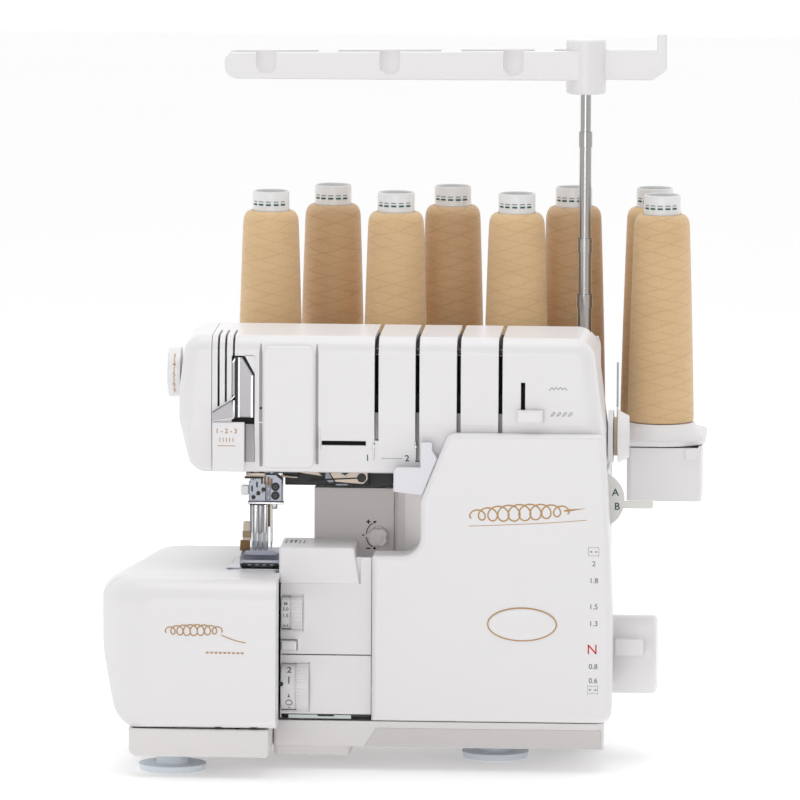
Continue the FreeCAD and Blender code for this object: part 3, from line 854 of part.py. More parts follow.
def cone_tube(x, row):
    """The moulded tube that the thread is wound on, with its collar above the thread."""
    low = taper("tube_low", "z", (x, row), ("seat_top", "collar_low + 0.1"), "collar_radius + 5", "collar_radius")
    collar = rod("tube_collar", "z", (x, row), ("collar_low", "cone_top"), "collar_radius")
    bore = taper("tube_bore", "z", (x, row), ("seat_top - 1", "cone_top + 1"), "collar_radius + 5 - tube_thick",
                 "collar_radius - tube_thick")
    return cut("cone_tube", fuse("tube_solid", low, collar), bore)


# ---------------------------------------------------------------- thread antenna
def make_antenna():
    pole = ("pole_x", "pole_y")
    stages = (("one", "tube_bore", "332 + 48", "hub_top - 22", None),
              ("two", "tube_one + fit", "340", "442", "453.5"),
              ("three", "tube_two + fit", "292", "363", "373.8"),
              ("four", "tube_three + fit", "stand_top", "321.5", "332"))
    for name, bore, low, collar_low, top in stages:
        radius = f"tube_{name}"
        body = rod("stage", "z", pole, (low, top or collar_low), radius)
        hole = rod("stage_bore", "z", pole, (f"{low} - 1", f"{top or collar_low} + 1"), bore)
        if top:
            body = fuse("stage_with_collar", body, rod("collar", "z", pole, (collar_low, top), f"{radius} + collar_step"))
        node(f"antenna_tube_{name}", cut(f"antenna_tube_{name}", body, hole))
    hub = soften("hub_body", rod("hub_rod", "z", pole, ("hub_low", "hub_top"), "hub_radius"), "2",
                 lambda edge: flat_at(edge, 2, number("hub_top")) or flat_at(edge, 2, number("hub_low")))
    socket = rod("hub_socket", "z", pole, ("hub_low - 1", "hub_top - 21.9"), "tube_one + fit")
    heads = [cut("antenna_hub", hub, socket)]
    keep_out = rod("hub_keep_out", "z", pole, ("hub_low - 20", "hub_top + 20"), "hub_radius")
    for name, y, notches in (("front", "front_beam_y", ("-111.2", "-19.1", "73")),
                             ("rear", "rear_beam_y", ("-66.3", "25.6", "95"))):
        beam = prism(f"{name}_beam_body", "XZ", [
            ("beam_left", "beam_low"), ("pole_x", "beam_low + 1"), ("pole_x", "beam_top + beam_rise"),
            ("beam_left", "beam_top")], (y, f"{y} + beam_thick"), {0: "9.5", 3: "6.5"}, ("1.2", lambda middle: True))
        cuts = []
        for x in notches:
            cuts.append(box("notch", (f"{x} - notch_wide / 2", f"{x} + notch_wide / 2"), (f"{y} - 1", f"{y} + beam_thick + 1"),
                            ("beam_top - notch_deep + 5", "beam_top + beam_rise + 1")))
            cuts.append(rod("notch_round", "y", (x, "beam_top - notch_deep + notch_wide / 2"),
                            (f"{y} - 1", f"{y} + beam_thick + 1"), "notch_wide / 2"))
        heads.append(cut(f"antenna_{name}_beam", beam, keep_out, *cuts))
    arm = prism("right_arm_body", "XZ", [
        ("pole_x", "beam_low + 1"), ("beam_right - 3", "beam_low + 1"), ("hook_right", "hook_low"),
        ("hook_right", "hook_top"), ("beam_right", "hook_top"), ("beam_right", "beam_top + 4"),
        ("pole_x", "beam_top + 4")], ("pole_y - 4", "pole_y + 4"), {2: "2"}, ("1.2", lambda middle: True))
    heads.append(cut("antenna_right_arm", arm, keep_out))
    node("antenna_head", fuse("antenna_head", *heads))


make_base()
make_looper_box()
make_stitch_plate()
make_middle()
make_column()
make_head()
make_needle_area()
make_drive()
make_stand()
make_antenna()
node("chassis_brackets", group("chassis_brackets", brackets))
node("pivot_pins", group("pivot_pins", pivots))
doc.recompute()

for thing in doc.Objects:
    if set(thing.State) & {"Invalid", "Error"}:
        raise SystemExit(f"{thing.Name} failed: {thing.State}")
whole = FreeCAD.BoundBox()
for label, piece in nodes.items():
    if piece.Shape.isNull() or not piece.Shape.isValid():
        raise SystemExit(f"{label} has no sound shape")
    whole.add(piece.Shape.BoundBox)
    piece.Shape.exportStep(f"parts/{label}.step")
print(len(nodes), "nodes", whole)
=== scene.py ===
"""Looks, floor, lights and camera for the serger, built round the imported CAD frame. Pieces are given in millimetres."""

import json
import math

import bmesh
import bpy
from mathutils import Matrix, Quaternion, Vector


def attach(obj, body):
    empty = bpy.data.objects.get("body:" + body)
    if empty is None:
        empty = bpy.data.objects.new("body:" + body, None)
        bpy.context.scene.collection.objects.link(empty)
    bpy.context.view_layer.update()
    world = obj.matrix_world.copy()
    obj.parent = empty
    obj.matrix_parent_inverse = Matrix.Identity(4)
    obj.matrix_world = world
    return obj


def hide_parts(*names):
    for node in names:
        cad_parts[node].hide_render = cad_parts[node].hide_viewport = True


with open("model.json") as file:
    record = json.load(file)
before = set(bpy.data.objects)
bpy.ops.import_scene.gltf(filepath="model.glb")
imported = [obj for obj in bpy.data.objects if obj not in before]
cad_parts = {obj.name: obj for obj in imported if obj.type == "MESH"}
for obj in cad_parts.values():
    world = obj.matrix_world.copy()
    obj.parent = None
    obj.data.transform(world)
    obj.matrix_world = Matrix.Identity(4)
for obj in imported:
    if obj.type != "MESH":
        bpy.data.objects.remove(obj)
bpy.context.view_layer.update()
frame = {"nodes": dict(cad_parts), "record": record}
MM = 0.001
MACHINE = "machine"
STAR_PLACE = (-20.6, 162.0)
PANEL_FACE = -20.02
SLOT_HALF = 1.48
WHEEL_Y = -100.5
WIDTH_WHEEL = (115.6, 12.6)
SELECTOR_WHEEL = (60.8, 17.4)


# ---------------------------------------------------------------- materials
class Nodes:
    """Adds nodes to a material and joins their sockets."""

    def __init__(self, name):
        self.material = bpy.data.materials.new(name)
        self.material.use_nodes = True
        self.tree = self.material.node_tree
        self.shader = self.tree.nodes["Principled BSDF"]

    def add(self, kind, **values):
        made = self.tree.nodes.new("ShaderNode" + kind)
        for key, value in values.items():
            if key in made.inputs:
                made.inputs[key].default_value = value
            else:
                setattr(made, key, value)
        return made

    def join(self, source, target):
        self.tree.links.new(source, target)

    def math(self, operation, first, second=0.0):
        made = self.add("Math", operation=operation)
        for socket, value in zip(made.inputs, (first, second)):
            if hasattr(value, "is_output"):
                self.join(value, socket)
            else:
                socket.default_value = value
        return made.outputs[0]

    def noise(self, scale, detail=2.0, stretch=(1, 1, 1)):
        """Noise in the row frame; scale is in features for each metre."""
        where = self.add("TexCoord").outputs["Object"]
        mapping = self.add("Mapping")
        mapping.inputs["Scale"].default_value = stretch
        self.join(where, mapping.inputs["Vector"])
        made = self.add("TexNoise", Scale=scale, Detail=detail)
        self.join(mapping.outputs[0], made.inputs["Vector"])
        return made.outputs["Fac"]

    def between(self, factor, low, high):
        """A factor from 0 to 1 turned into a number from low to high."""
        made = self.add("MapRange")
        made.inputs["To Min"].default_value, made.inputs["To Max"].default_value = low, high
        self.join(factor, made.inputs["Value"])
        return made.outputs[0]

    def colours(self, factor, first, second):
        made = self.add("Mix", data_type="RGBA")
        made.inputs[6].default_value = (*first, 1)
        made.inputs[7].default_value = (*second, 1)
        self.join(factor, made.inputs[0])
        return made.outputs[2]

    def bump(self, height, strength, distance, edge=0.0):
        made = self.add("Bump", Strength=strength, Distance=distance)
        self.join(height, made.inputs["Height"])
        if edge:
            rounded = self.add("Bevel", Radius=edge, samples=4)
            self.join(rounded.outputs[0], made.inputs["Normal"])
        self.join(made.outputs[0], self.shader.inputs["Normal"])

    def set(self, **values):
        for key, value in values.items():
            self.shader.inputs[key.replace("_", " ")].default_value = value


def shade(colour, factor):
    return tuple(channel * factor for channel in colour)


def plastic(name, colour, rough=0.3, coat=0.0, grain=0.03, grain_size=0.0006, vary=0.008, edge=0.0006):
    """Moulded plastic: a slow drift of tone, faint scuffs in the gloss, and a fine moulded grain."""
    n = Nodes(name)
    slow = n.noise(9, 3)
    n.join(n.colours(slow, shade(colour, 1 - vary), colour), n.shader.inputs["Base Color"])
    scuff = n.noise(55, 4)
    n.join(n.between(scuff, rough - 0.015, rough + 0.02), n.shader.inputs["Roughness"])
    n.set(IOR=1.42, Coat_Weight=coat, Coat_Roughness=0.08)
    n.bump(n.noise(1 / grain_size, 2), grain, 0.0001, edge)
    return n.material


def metal(name, colour, rough=0.28, brushed=(1, 1, 1), scale=900, edge=0.0003, vary=0.25):
    """Bare metal with fine marks along one direction."""
    n = Nodes(name)
    marks = n.noise(scale, 3, brushed)
    n.join(n.colours(marks, shade(colour, 1 - vary), colour), n.shader.inputs["Base Color"])
    n.join(n.between(marks, rough - 0.08, rough + 0.1), n.shader.inputs["Roughness"])
    n.set(Metallic=1.0)
    n.bump(marks, 0.12, 0.00005, edge)
    return n.material


def thread(name, light, dark):
    """Wound thread on a cone; the mesh's map runs round it and up it."""
    n = Nodes(name)
    place = n.add("SeparateXYZ")
    n.join(n.add("TexCoord").outputs["UV"], place.inputs[0])
    round_it, up_it = place.outputs[0], place.outputs[1]

    def strands(turns, lean, stray=0.0):
        """Bands that climb round the cone, bent a little out of line by stray."""
        along = n.math("ADD", n.math("MULTIPLY", up_it, turns), n.math("MULTIPLY", round_it, lean))
        if stray:
            along = n.math("ADD", along, n.math("MULTIPLY", drift, stray))
        return n.math("ABSOLUTE", n.math("SINE", n.math("MULTIPLY", along, math.pi)))

    drift = n.noise(26, 2, (1, 1, 2.5))
    fine = n.math("MULTIPLY", strands(190, 38), strands(190, -38))
    rising = n.math("POWER", n.math("SUBTRACT", 1.0, strands(19, 4, 0.9)), 9)
    falling = n.math("POWER", n.math("SUBTRACT", 1.0, strands(16, -4, 0.8)), 9)
    patchy = n.between(n.noise(45, 2, (1, 1, 2)), 0.0, 1.0)
    lines = n.math("MULTIPLY", n.math("MAXIMUM", rising, falling), patchy)
    fuzz = n.noise(800, 3)
    level = n.math("SUBTRACT", n.math("MULTIPLY", fine, 0.5), n.math("MULTIPLY", lines, 0.75))
    tone = n.math("ADD", n.math("ADD", level, n.math("MULTIPLY", drift, 0.5)), n.math("MULTIPLY", fuzz, 0.5))
    n.join(n.colours(tone, dark, light), n.shader.inputs["Base Color"])
    n.set(Roughness=0.62, Sheen_Weight=0.25, Sheen_Roughness=0.5, IOR=1.45)
    n.bump(n.math("ADD", level, n.math("MULTIPLY", fuzz, 0.3)), 0.45, 0.0003)
    return n.material


WHITE = (0.80, 0.785, 0.795)
M = {
    "white": plastic("white_gloss_plastic", WHITE, 0.34, 0.12, 0.02),
    "base": plastic("base_plastic", (0.745, 0.72, 0.715), 0.42, 0.0, 0.05),
    # a darker copy of the base plastic: painted shade for the base's sunk lower band
    "base_low": plastic("recess_painted_shade_plastic", (0.63, 0.605, 0.595), 0.5, 0.0, 0.05),
    "pale_steel": plastic("pale_green_steel", (0.62, 0.68, 0.67), 0.3, 0.2, 0.05),
    "pole": metal("pole_chrome", (0.46, 0.45, 0.44), 0.16, (1, 1, 30), 400),
    "foot": plastic("foot_rubber", (0.78, 0.84, 0.90), 0.6, 0.0, 0.1),
    "grey": plastic("grey_plastic", (0.90, 0.86, 0.84), 0.45, 0.0, 0.15),
    "star_grey": plastic("star_knob_plastic", (0.93, 0.905, 0.89), 0.4, 0.05, 0.1),
    "warm_white": plastic("warm_white_plastic", (0.72, 0.71, 0.68), 0.35, 0.1),
    "shade": plastic("groove_shade", (0.36, 0.33, 0.335), 0.6, 0.0, 0.1, edge=0),
    "window_grey": plastic("window_grey", (0.48, 0.46, 0.46), 0.5, 0.0, 0.1),
    "mark": plastic("brown_mark", (0.20, 0.11, 0.10), 0.5, 0.0, 0.05, edge=0),
    "lavender": plastic("lavender_plastic", (0.745, 0.74, 0.785), 0.32, 0.1),
    "black": plastic("black_plastic", (0.02, 0.02, 0.021), 0.4, 0.0, 0.1),
    "motor": plastic("dark_enamel", (0.05, 0.05, 0.052), 0.5, 0.0, 0.1),
    "cast": plastic("dark_casting", (0.035, 0.034, 0.034), 0.55, 0.0, 0.3),
    "belt": plastic("belt_rubber", (0.015, 0.015, 0.015), 0.7, 0.0, 0.3),
    "steel": metal("satin_steel", (0.50, 0.52, 0.56), 0.32, (1, 1, 14)),
    "blued": metal("blued_steel", (0.36, 0.38, 0.43), 0.35, (14, 1, 1)),
    "chrome": metal("chrome", (0.80, 0.80, 0.81), 0.13, (1, 1, 1), 300),
    "bronze": metal("bronze", (0.28, 0.21, 0.14), 0.38),
    "dark_bronze": metal("dark_bronze", (0.20, 0.12, 0.06), 0.4),
    "tan_metal": metal("tan_metal", (0.44, 0.37, 0.31), 0.3),
    "plate": metal("plate_metal", (0.37, 0.355, 0.375), 0.3, (1, 1, 8)),
    "dark_steel": metal("dark_steel", (0.24, 0.25, 0.28), 0.4),
    "silver": metal("bright_needle_steel", (0.78, 0.78, 0.79), 0.18, (14, 14, 1)),
    "tan_plastic": plastic("tan_plastic", (0.78, 0.66, 0.50), 0.45, 0.0, 0.1),
    "foot_blue": plastic("foot_blue_steel", (0.44, 0.45, 0.56), 0.3, 0.5, 0.03),
    "tube": plastic("tube_plastic", (0.82, 0.82, 0.82), 0.35, 0.1),
    "light_thread": thread("light_tan_thread", (0.79, 0.545, 0.295), (0.53, 0.355, 0.175)),
    "dark_thread": thread("brown_thread", (0.67, 0.45, 0.25), (0.40, 0.25, 0.128)),
    "gold": plastic("gold_print", (0.46, 0.27, 0.10), 0.4, 0.0, 0.05, edge=0),
    "ink": plastic("grey_print", (0.13, 0.13, 0.14), 0.5, 0.0, 0.05, edge=0),
    "black_ink": plastic("black_print", (0.02, 0.02, 0.02), 0.5, 0.0, 0.05, edge=0),
    "red": plastic("red_print", (0.55, 0.02, 0.03), 0.5, 0.0, 0.05, edge=0),
    "green": plastic("green_print", (0.012, 0.09, 0.07), 0.5, 0.0, 0.05, edge=0),
}
SLOT_MATERIAL = {
    "white_shell": "white", "base_plastic": "base", "foot_rubber": "foot", "grey_panel": "grey",
    "lavender_plastic": "lavender", "satin_steel": "steel", "chrome": "chrome", "cast_chassis": "cast",
    "motor_steel": "motor", "belt_rubber": "belt", "black_plastic": "black", "thread_light": "light_thread",
    "thread_dark": "dark_thread", "tube_plastic": "tube",
}
NODE_MATERIAL = {
    "needle_clamp": "blued", "presser_foot": "blued", "presser_bar": "steel", "needles": "silver",
    "take_up_plate": "plate", "antenna_tube_one": "pole", "antenna_tube_two": "pole",
    "antenna_tube_three": "pole", "antenna_tube_four": "pole", "lower_looper": "chrome", "star_knob": "star_grey",
    "thread_lever": "warm_white", "side_guide_wheel": "white",
}
for part in frame["record"]["subparts"]:
    piece = frame["nodes"][part["node"]]
    material = M[NODE_MATERIAL.get(part["node"], SLOT_MATERIAL[part["material_slot"]])]
    piece.data.materials.clear()
    piece.data.materials.append(material)

# ---------------------------------------------------------------- making pieces
def settle(piece, material, body, angle=40):
    """Links a new mesh object, gives it a material, smooths it up to an angle and puts it on its body."""
    bpy.context.scene.collection.objects.link(piece)
    if material:
        piece.data.materials.append(M[material])
    for polygon in piece.data.polygons:
        polygon.use_smooth = True
    piece.data.set_sharp_from_angle(angle=math.radians(angle))
    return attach(piece, body)


def from_bmesh(name, shape, material, body, angle=40):
    mesh = bpy.data.meshes.new(name)
    bmesh.ops.recalc_face_normals(shape, faces=shape.faces)
    shape.to_mesh(mesh)
    shape.free()
    return settle(bpy.data.objects.new(name, mesh), material, body, angle)


def turned(name, profile, centre, axis, material, body, steps=96, angle=40):
    """A turned piece. profile is (radius, height) in mm round an axis through centre, with a map round and up."""
    turn = {"x": Matrix(((0, 0, 1), (1, 0, 0), (0, 1, 0))), "y": Matrix(((0, 1, 0), (0, 0, 1), (1, 0, 0))),
            "z": Matrix.Identity(3)}[axis]
    shape = bmesh.new()
    layer = shape.loops.layers.uv.new("map")
    rings = []
    for radius, height in profile:
        ring = []
        for step in range(steps):
            spin = math.tau * step / steps
            spot = turn @ Vector((radius * math.cos(spin), radius * math.sin(spin), height))
            ring.append(shape.verts.new((spot + Vector(centre)) * MM))
        rings.append(ring)
    heights = [height for _, height in profile]
    low, high = min(heights), max(heights)
    for level, (first, second) in enumerate(zip(rings, rings[1:])):
        for step in range(steps):
            following = (step + 1) % steps
            face = shape.faces.new((first[step], first[following], second[following], second[step]))
            for loop, (across, up) in zip(face.loops, ((0, 0), (1, 0), (1, 1), (0, 1))):
                rise = (heights[level + up] - low) / max(high - low, 1e-6)
                loop[layer].uv = ((step + across) / steps, rise)
    return from_bmesh(name, shape, material, body, angle)


def slab(name, outline, span, material, body, plane="XZ", bevel=0.4, holes=()):
    """A flat piece: an outline in mm in a plane, between two levels across it, with rounded edges."""
    curve = bpy.data.curves.new(name, "CURVE")
    curve.dimensions, curve.fill_mode = "2D", "BOTH"
    for ring in (outline, *holes):
        line = curve.splines.new("POLY")
        line.points.add(len(ring) - 1)
        for point, (a, b) in zip(line.points, ring):
            point.co = (a * MM, b * MM, 0, 1)
        line.use_cyclic_u = True
    half = abs(span[1] - span[0]) / 2 * MM
    rim = min(bevel * MM, half * 0.9)
    curve.extrude, curve.bevel_depth, curve.bevel_resolution, curve.offset = half - rim, rim, 2, -rim
    middle = (span[0] + span[1]) / 2 * MM
    turn = {"XZ": Matrix(((1, 0, 0, 0), (0, 0, -1, middle), (0, 1, 0, 0), (0, 0, 0, 1))),
            "XY": Matrix(((1, 0, 0, 0), (0, 1, 0, 0), (0, 0, 1, middle), (0, 0, 0, 1))),
            "YZ": Matrix(((0, 0, 1, middle), (1, 0, 0, 0), (0, 1, 0, 0), (0, 0, 0, 1)))}[plane]
    return from_curve(name, curve, turn, material, body)


def from_curve(name, curve, place, material, body, angle=40):
    holder = bpy.data.objects.new(name + "_curve", curve)
    bpy.context.scene.collection.objects.link(holder)
    bpy.context.view_layer.update()
    mesh = bpy.data.meshes.new_from_object(holder.evaluated_get(bpy.context.evaluated_depsgraph_get()))
    bpy.data.objects.remove(holder)
    bpy.data.curves.remove(curve)
    mesh.name = name
    mesh.transform(place)
    mesh.materials.clear()
    return settle(bpy.data.objects.new(name, mesh), material, body, angle)


def wire(name, points, radius, material, body, closed=False, flat=None, steps=6):
    """A round wire through points in mm; flat squeezes it along an axis to lie as print on a face."""
    curve = bpy.data.curves.new(name, "CURVE")
    curve.dimensions, curve.bevel_depth, curve.bevel_resolution, curve.resolution_u = "3D", radius * MM, 3, steps
    line = curve.splines.new("NURBS")
    line.points.add(len(points) - 1)
    for point, spot in zip(line.points, points):
        point.co = (*(Vector(spot) * MM), 1)
    line.order_u, line.use_endpoint_u, line.use_cyclic_u = 3, not closed, closed
    curve.use_fill_caps = True
    place = Matrix.Identity(4)
    if flat:
        level, amount = flat
        place = Matrix.Translation((0, level * MM, 0)) @ Matrix.Diagonal((1, amount, 1, 1))
        place = place @ Matrix.Translation((0, -level * MM, 0))
    return from_curve(name, curve, place, material, body)


def block(name, low, high, material, body, bevel=0.5, segments=3, taper=None):
    """A block between two corners in mm with rounded edges."""
    shape = bmesh.new()
    bmesh.ops.create_cube(shape, size=1)
    size = [b - a for a, b in zip(low, high)]
    for corner in shape.verts:
        corner.co = Vector([(a + (c + 0.5) * s) * MM for a, c, s in zip(low, corner.co, size)])
    bmesh.ops.bevel(shape, geom=shape.edges[:], offset=bevel * MM, segments=segments, profile=0.5, affect="EDGES")
    return from_bmesh(name, shape, material, body)


def printed(name, words, x, z, y, size, material, body=MACHINE, lean=0.0, turn=None, align="CENTER", shear=0.0,
            spin=0.0, weight=0.03):
    """Printed figures on a face that looks to the front, size in mm; lean tips them back at the top."""
    curve = bpy.data.curves.new(name, "FONT")
    curve.body, curve.size, curve.extrude, curve.align_x, curve.align_y = words, size * MM, 0.04 * MM, align, "CENTER"
    curve.shear, curve.resolution_u, curve.offset = shear, 6, weight * MM
    upright = turn or Matrix.Rotation(math.radians(90 - lean), 4, "X")
    place = Matrix.Translation(Vector((x, y, z)) * MM) @ upright @ Matrix.Rotation(math.radians(spin), 4, "Z")
    return from_curve(name, curve, place, material, body)


def stroke(name, points, y, width, material, body=MACHINE, closed=False):
    """A printed line on a front face through (x, z) points."""
    return wire(name, [(x, y, z) for x, z in points], width / 2, material, body, closed, flat=(y, 0.12))


def stud(name, x, z, y, radius, out, material, body):
    """A round boss or screw head that stands out of a front face at y."""
    rim = min(0.25, out / 2, radius / 3)
    return turned(name, [(0.02, -out), (radius - rim, -out), (radius, rim - out), (radius, 0.4)], (x, y, z), "y",
                  material,
                  body, 32)


def plate(name, outline, y, thick, material, body=MACHINE, bevel=0.15):
    """A thin flat piece whose back lies at y and whose front is thick nearer."""
    return slab(name, outline, (y, y - thick), material, body, bevel=bevel)


def oblong(left, right, low, high):
    return [(left, low), (right, low), (right, high), (left, high)]


def oval(x, z, wide, tall, steps=48, y=None):
    ring = [(x + wide * math.cos(math.tau * s / steps),
             z + tall * math.sin(math.tau * s / steps)) for s in range(steps)]
    return ring if y is None else [(a, y, b) for a, b in ring]


# ---------------------------------------------------------------- thread cones and their tubes
CONES = [("front", x, 80.0) for x in (-108.0, -14.5, 75.7, 184.0)]
CONES += [("rear", x, 130.5) for x in (-64.5, 25.5, 116.3, 177.0)]


def cone_profile():
    """The wound thread from its foot up over the shoulder; a little fuller in the middle, as wound thread is."""
    low, shoulder, base, top, neck, crown = 237.3, 386.5, 24.8, 20.8, 14.2, 393.0
    rows = [(base - 7, low), (base - 1.2, low + 0.1), (base - 0.2, low + 1.2)]
    for step in range(1, 40):
        share = step / 40
        rows.append((base + (top - base) * share + 0.25 * math.sin(math.pi * share),
                     low + 1.2 + (shoulder - 4 - low) * share))
    for step in range(1, 9):
        share = math.pi / 2 * step / 8
        rows.append((neck + (top - neck) * math.cos(share) ** 0.8,
                     shoulder - 4 + (crown - shoulder + 3.4) * math.sin(share)))
    return rows


for number, (row, x, y) in enumerate(CONES, start=1):
    cone = turned(f"thread_cone_{number}", cone_profile(), (x, y, 0), "z",
                  "light_thread" if row == "front" or number == 8 else "dark_thread", MACHINE, 128)
    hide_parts("thread_cones_front" if row == "front" else "thread_cones_rear")
    tube = turned(f"cone_tube_{number}", [
        (18.7, 237.2), (18.7, 238.2), (13.7, 391.5), (13.7, 405.6), (13.5, 406.6), (13.0, 407.0), (12.5, 406.6),
        (12.3, 405.6), (12.3, 396.0), (17.2, 238.2), (17.2, 237.2), (18.7, 237.2)], (x, y, 0), "z", "tube", MACHINE)
    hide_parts("cone_tubes")
    for part in range(5):
        spin = math.radians(-150 + 24 * part)
        reach = 13.78
        arc = [(x + reach * math.cos(spin + math.radians(15) * t / 4),
                y + reach * math.sin(spin + math.radians(15) * t / 4), 0)
               for t in range(5)]
        for level, tall in ((399.6, 0.5), (397.4, 1.3)):
            wire(f"tube_mark_{number}_{part + 1}_{int(level)}", [(a, b, level) for a, b, _ in arc], tall / 2, "green",
                 MACHINE)
wire("loose_thread_end", [(168.4, 107.2, 238.5), (168.6, 109.0, 290), (168.8, 110.9, 340), (169.4, 113.0, 384)], 0.28,
     "tube", MACHINE)

# ---------------------------------------------------------------- print on the front cover
FACE = -114.03
for words, z in (("2", 155.4), ("1.8", 142.9), ("1.5", 123.7), ("1.3", 111.2), ("0.8", 79.5), ("0.6", 69.1)):
    printed("scale_" + words.replace(".", "_"), words, 141.6, z, FACE, 5.4, "ink")
printed("scale_N", "N", 140.8, 92.0, FACE, 10.2, "red")
for name, z, wavy in (("gather", 164.3, True), ("stretch", 62.5, False)):
    for side, x in (("left", 137.6), ("right", 145.2)):
        bow = 0 if wavy else (0.5 if side == "left" else -0.5)
        stroke(f"{name}_{side}_edge", [(x, z - 3.1), (x + bow, z), (x, z + 3.1)], FACE, 0.25, "ink")
        tip = 1 if side == "left" else -1
        heading = tip if wavy else -tip
        middle = x + tip * 1.9
        slab(f"{name}_{side}_arrow",
             [(middle - heading * 0.2, z + 0.75), (middle + heading * 1.3, z), (middle - heading * 0.2, z - 0.75)],
             (FACE, FACE - 0.05), "ink", MACHINE, bevel=0.02)
        stroke(f"{name}_{side}_shaft", [(middle - heading * 1.3, z), (middle, z)], FACE, 0.3, "ink")
    for level in (-3.1, 3.1):
        rise = 0.45 if wavy else (-0.5 if level > 0 else 0.5)
        points = [(137.6 + 7.6 * s / 8,
                   z + level + (rise * (s % 2) if wavy else rise * math.sin(math.pi * s / 8))) for s in range(9)]
        stroke(f"{name}_{'top' if level > 0 else 'bottom'}_edge", points, FACE, 0.25, "ink")

# a raised oval badge with a plain gold rim, and a gold flourish of thread in place of lettering
badge = turned("oval_badge", [(0.02, 1.1), (10, 1.05), (19, 0.9), (22, 0.65), (23.6, 0.3), (24.4, 0.0)], (0, 0, 0),
               "z", "white", MACHINE)
badge.data.transform(Matrix(((25.2 / 24.4, 0, 0, 89.4 * MM), (0, 0, -1, -114.0 * MM), (0, 12.0 / 24.4, 0, 110.2 * MM),
                             (0, 0, 0, 1))))
wire("oval_badge_rim", oval(89.4, 110.2, 25.2, 12.1, 48, -114.1), 0.5, "gold", MACHINE, True)


def chain(start, end, count, wide, tall):
    """A run of equal thread loops between two (x, z) points, fading in and out at the ends."""
    points = []
    for step in range(count * 12 + 1):
        share = step / (count * 12)
        turn, swell = math.tau * count * share, 0.35 + 0.65 * math.sin(math.pi * share) ** 0.6
        points.append((start[0] + (end[0] - start[0]) * share - wide * math.sin(turn) * swell,
                       start[1] + (end[1] - start[1]) * share - tall * math.cos(turn) * swell))
    return points


stroke("gold_loops", chain((52, 190.5), (122, 194.5), 9, 6.4, 6.2), FACE, 1.15, "gold")
plate("gold_needle", [(122, 193.6), (136.5, 196.4), (122, 195.4), (119.5, 194.8), (119.5, 193.8)], FACE + 0.02, 0.06,
      "gold", bevel=0.02)
stroke("gold_underline", [(50, 182.2), (80, 183.6), (110, 185.2), (136, 187.6)], FACE, 0.55, "gold")

# ---------------------------------------------------------------- print on the looper cover
def cover_front(x):
    """The looper cover's front face is not square to the machine: it runs back towards the left."""
    return -160.0 + 8.0 * (-88.0 - x) / 136.5 - 0.04


def cover_stroke(name, points, width):
    return wire(name, [(x, cover_front(x), z) for x, z in points], width / 2, "gold", "looper_cover_body")


cover_stroke("looper_loops", chain((-168, 108.6), (-128, 109.6), 8, 4.0, 4.2), 0.85)
cover_stroke("looper_tail", [(-128, 105.8), (-122, 103.5), (-116, 101.5), (-110, 100.5)], 0.7)
for step in range(9):
    x = -139 + 3.2 * step
    cover_stroke(f"looper_dash_{step + 1}", [(x, 92.8), (x + 1.9, 92.8)], 1.2)

# ---------------------------------------------------------------- print on the head
LOW_LEAN = -math.degrees(math.atan2(7, 38))


def chin(z):
    """Where the lower, tucked-in part of the head's front is at a height."""
    return -105.0 + 7.0 * (255.8 - z) / 38.0 - 0.06


printed("needle_count_1", "1", -25.0, 229.6, chin(229.6), 6.8, "green", lean=LOW_LEAN, weight=0.1)
printed("needle_count_2", "2", 4.0, 229.6, chin(229.6), 6.8, "green", lean=LOW_LEAN, weight=0.1)
for step in range(14):
    x = -14.6 + 1.1 * step
    slab(f"dot_{step + 1}", [(x, 229.3), (x + 0.55, 229.3), (x + 0.55, 229.85), (x, 229.85)],
         (chin(229.6), chin(229.6) - 0.06), "green", MACHINE, bevel=0.02)
printed("flap_numbers", "1 - 2 - 3", -128.0, 249.2, -107.56, 4.9, "gold", weight=0.09)
for step in range(5):
    spot = -132.8 + 2.4 * step
    stroke(f"flap_tick_{step + 1}", [(spot, 241.2), (spot, 244.4)], -107.54, 0.6, "gold")
stroke("flap_line", [(-134.5, 238.4), (-121.5, 238.4)], -107.54, 0.6, "gold")
wave = [(108 + 1.6 * s, 283 + (1.5 if s % 2 else -1.5)) for s in range(9)]
stroke("wave_sign", wave, -105.04, 0.45, "ink")
for step in range(4):
    x = 109 + 4.2 * step
    stroke(f"edge_sign_{step + 1}", [(x, 262.4), (x + 2.2, 266.4), (x + 3.6, 264.2), (x + 0.8, 262.6)], -105.04, 0.4,
           "ink")

# presser dial numbers, standing round its rim
for digits, spot in (("3", 46), ("4", 23), ("5", 0), ("6", -23), ("7", -46)):
    angle = math.radians(spot)
    centre = Vector((-168.6, -60 - 18.26 * math.cos(angle), 287 + 18.26 * math.sin(angle)))
    turn = Matrix.Rotation(-angle, 4, "X") @ Matrix.Rotation(math.radians(90), 4, "X")
    printed("dial_" + digits, digits, centre.x, centre.z, centre.y, 5.0, "gold", "presser_dial_body", turn=turn)
for spot in (34.5, 11.5, -11.5, -34.5):
    angle = math.radians(spot)
    turned_bar = slab(f"dial_bar_{int(spot * 10)}".replace("-", "m"),
                      [(-168.9, -1.6), (-168.3, -1.6), (-168.3, 1.6), (-168.9, 1.6)], (-0.02, -0.08), "gold",
                      "presser_dial_body", bevel=0.02)
    turned_bar.data.transform(Matrix.Translation((0, -60 * MM, 287 * MM)) @ Matrix.Rotation(-angle, 4, "X")
                              @ Matrix.Translation((0, -18.2 * MM, 0)))

# letters on the looper thread lever
printed("lever_A", "A", 155.3, 201.4, -62.55, 7.4, "green", "thread_lever_body", weight=0.12)
printed("lever_B", "B", 156.6, 191.0, -62.55, 7.4, "green", "thread_lever_body", weight=0.12)

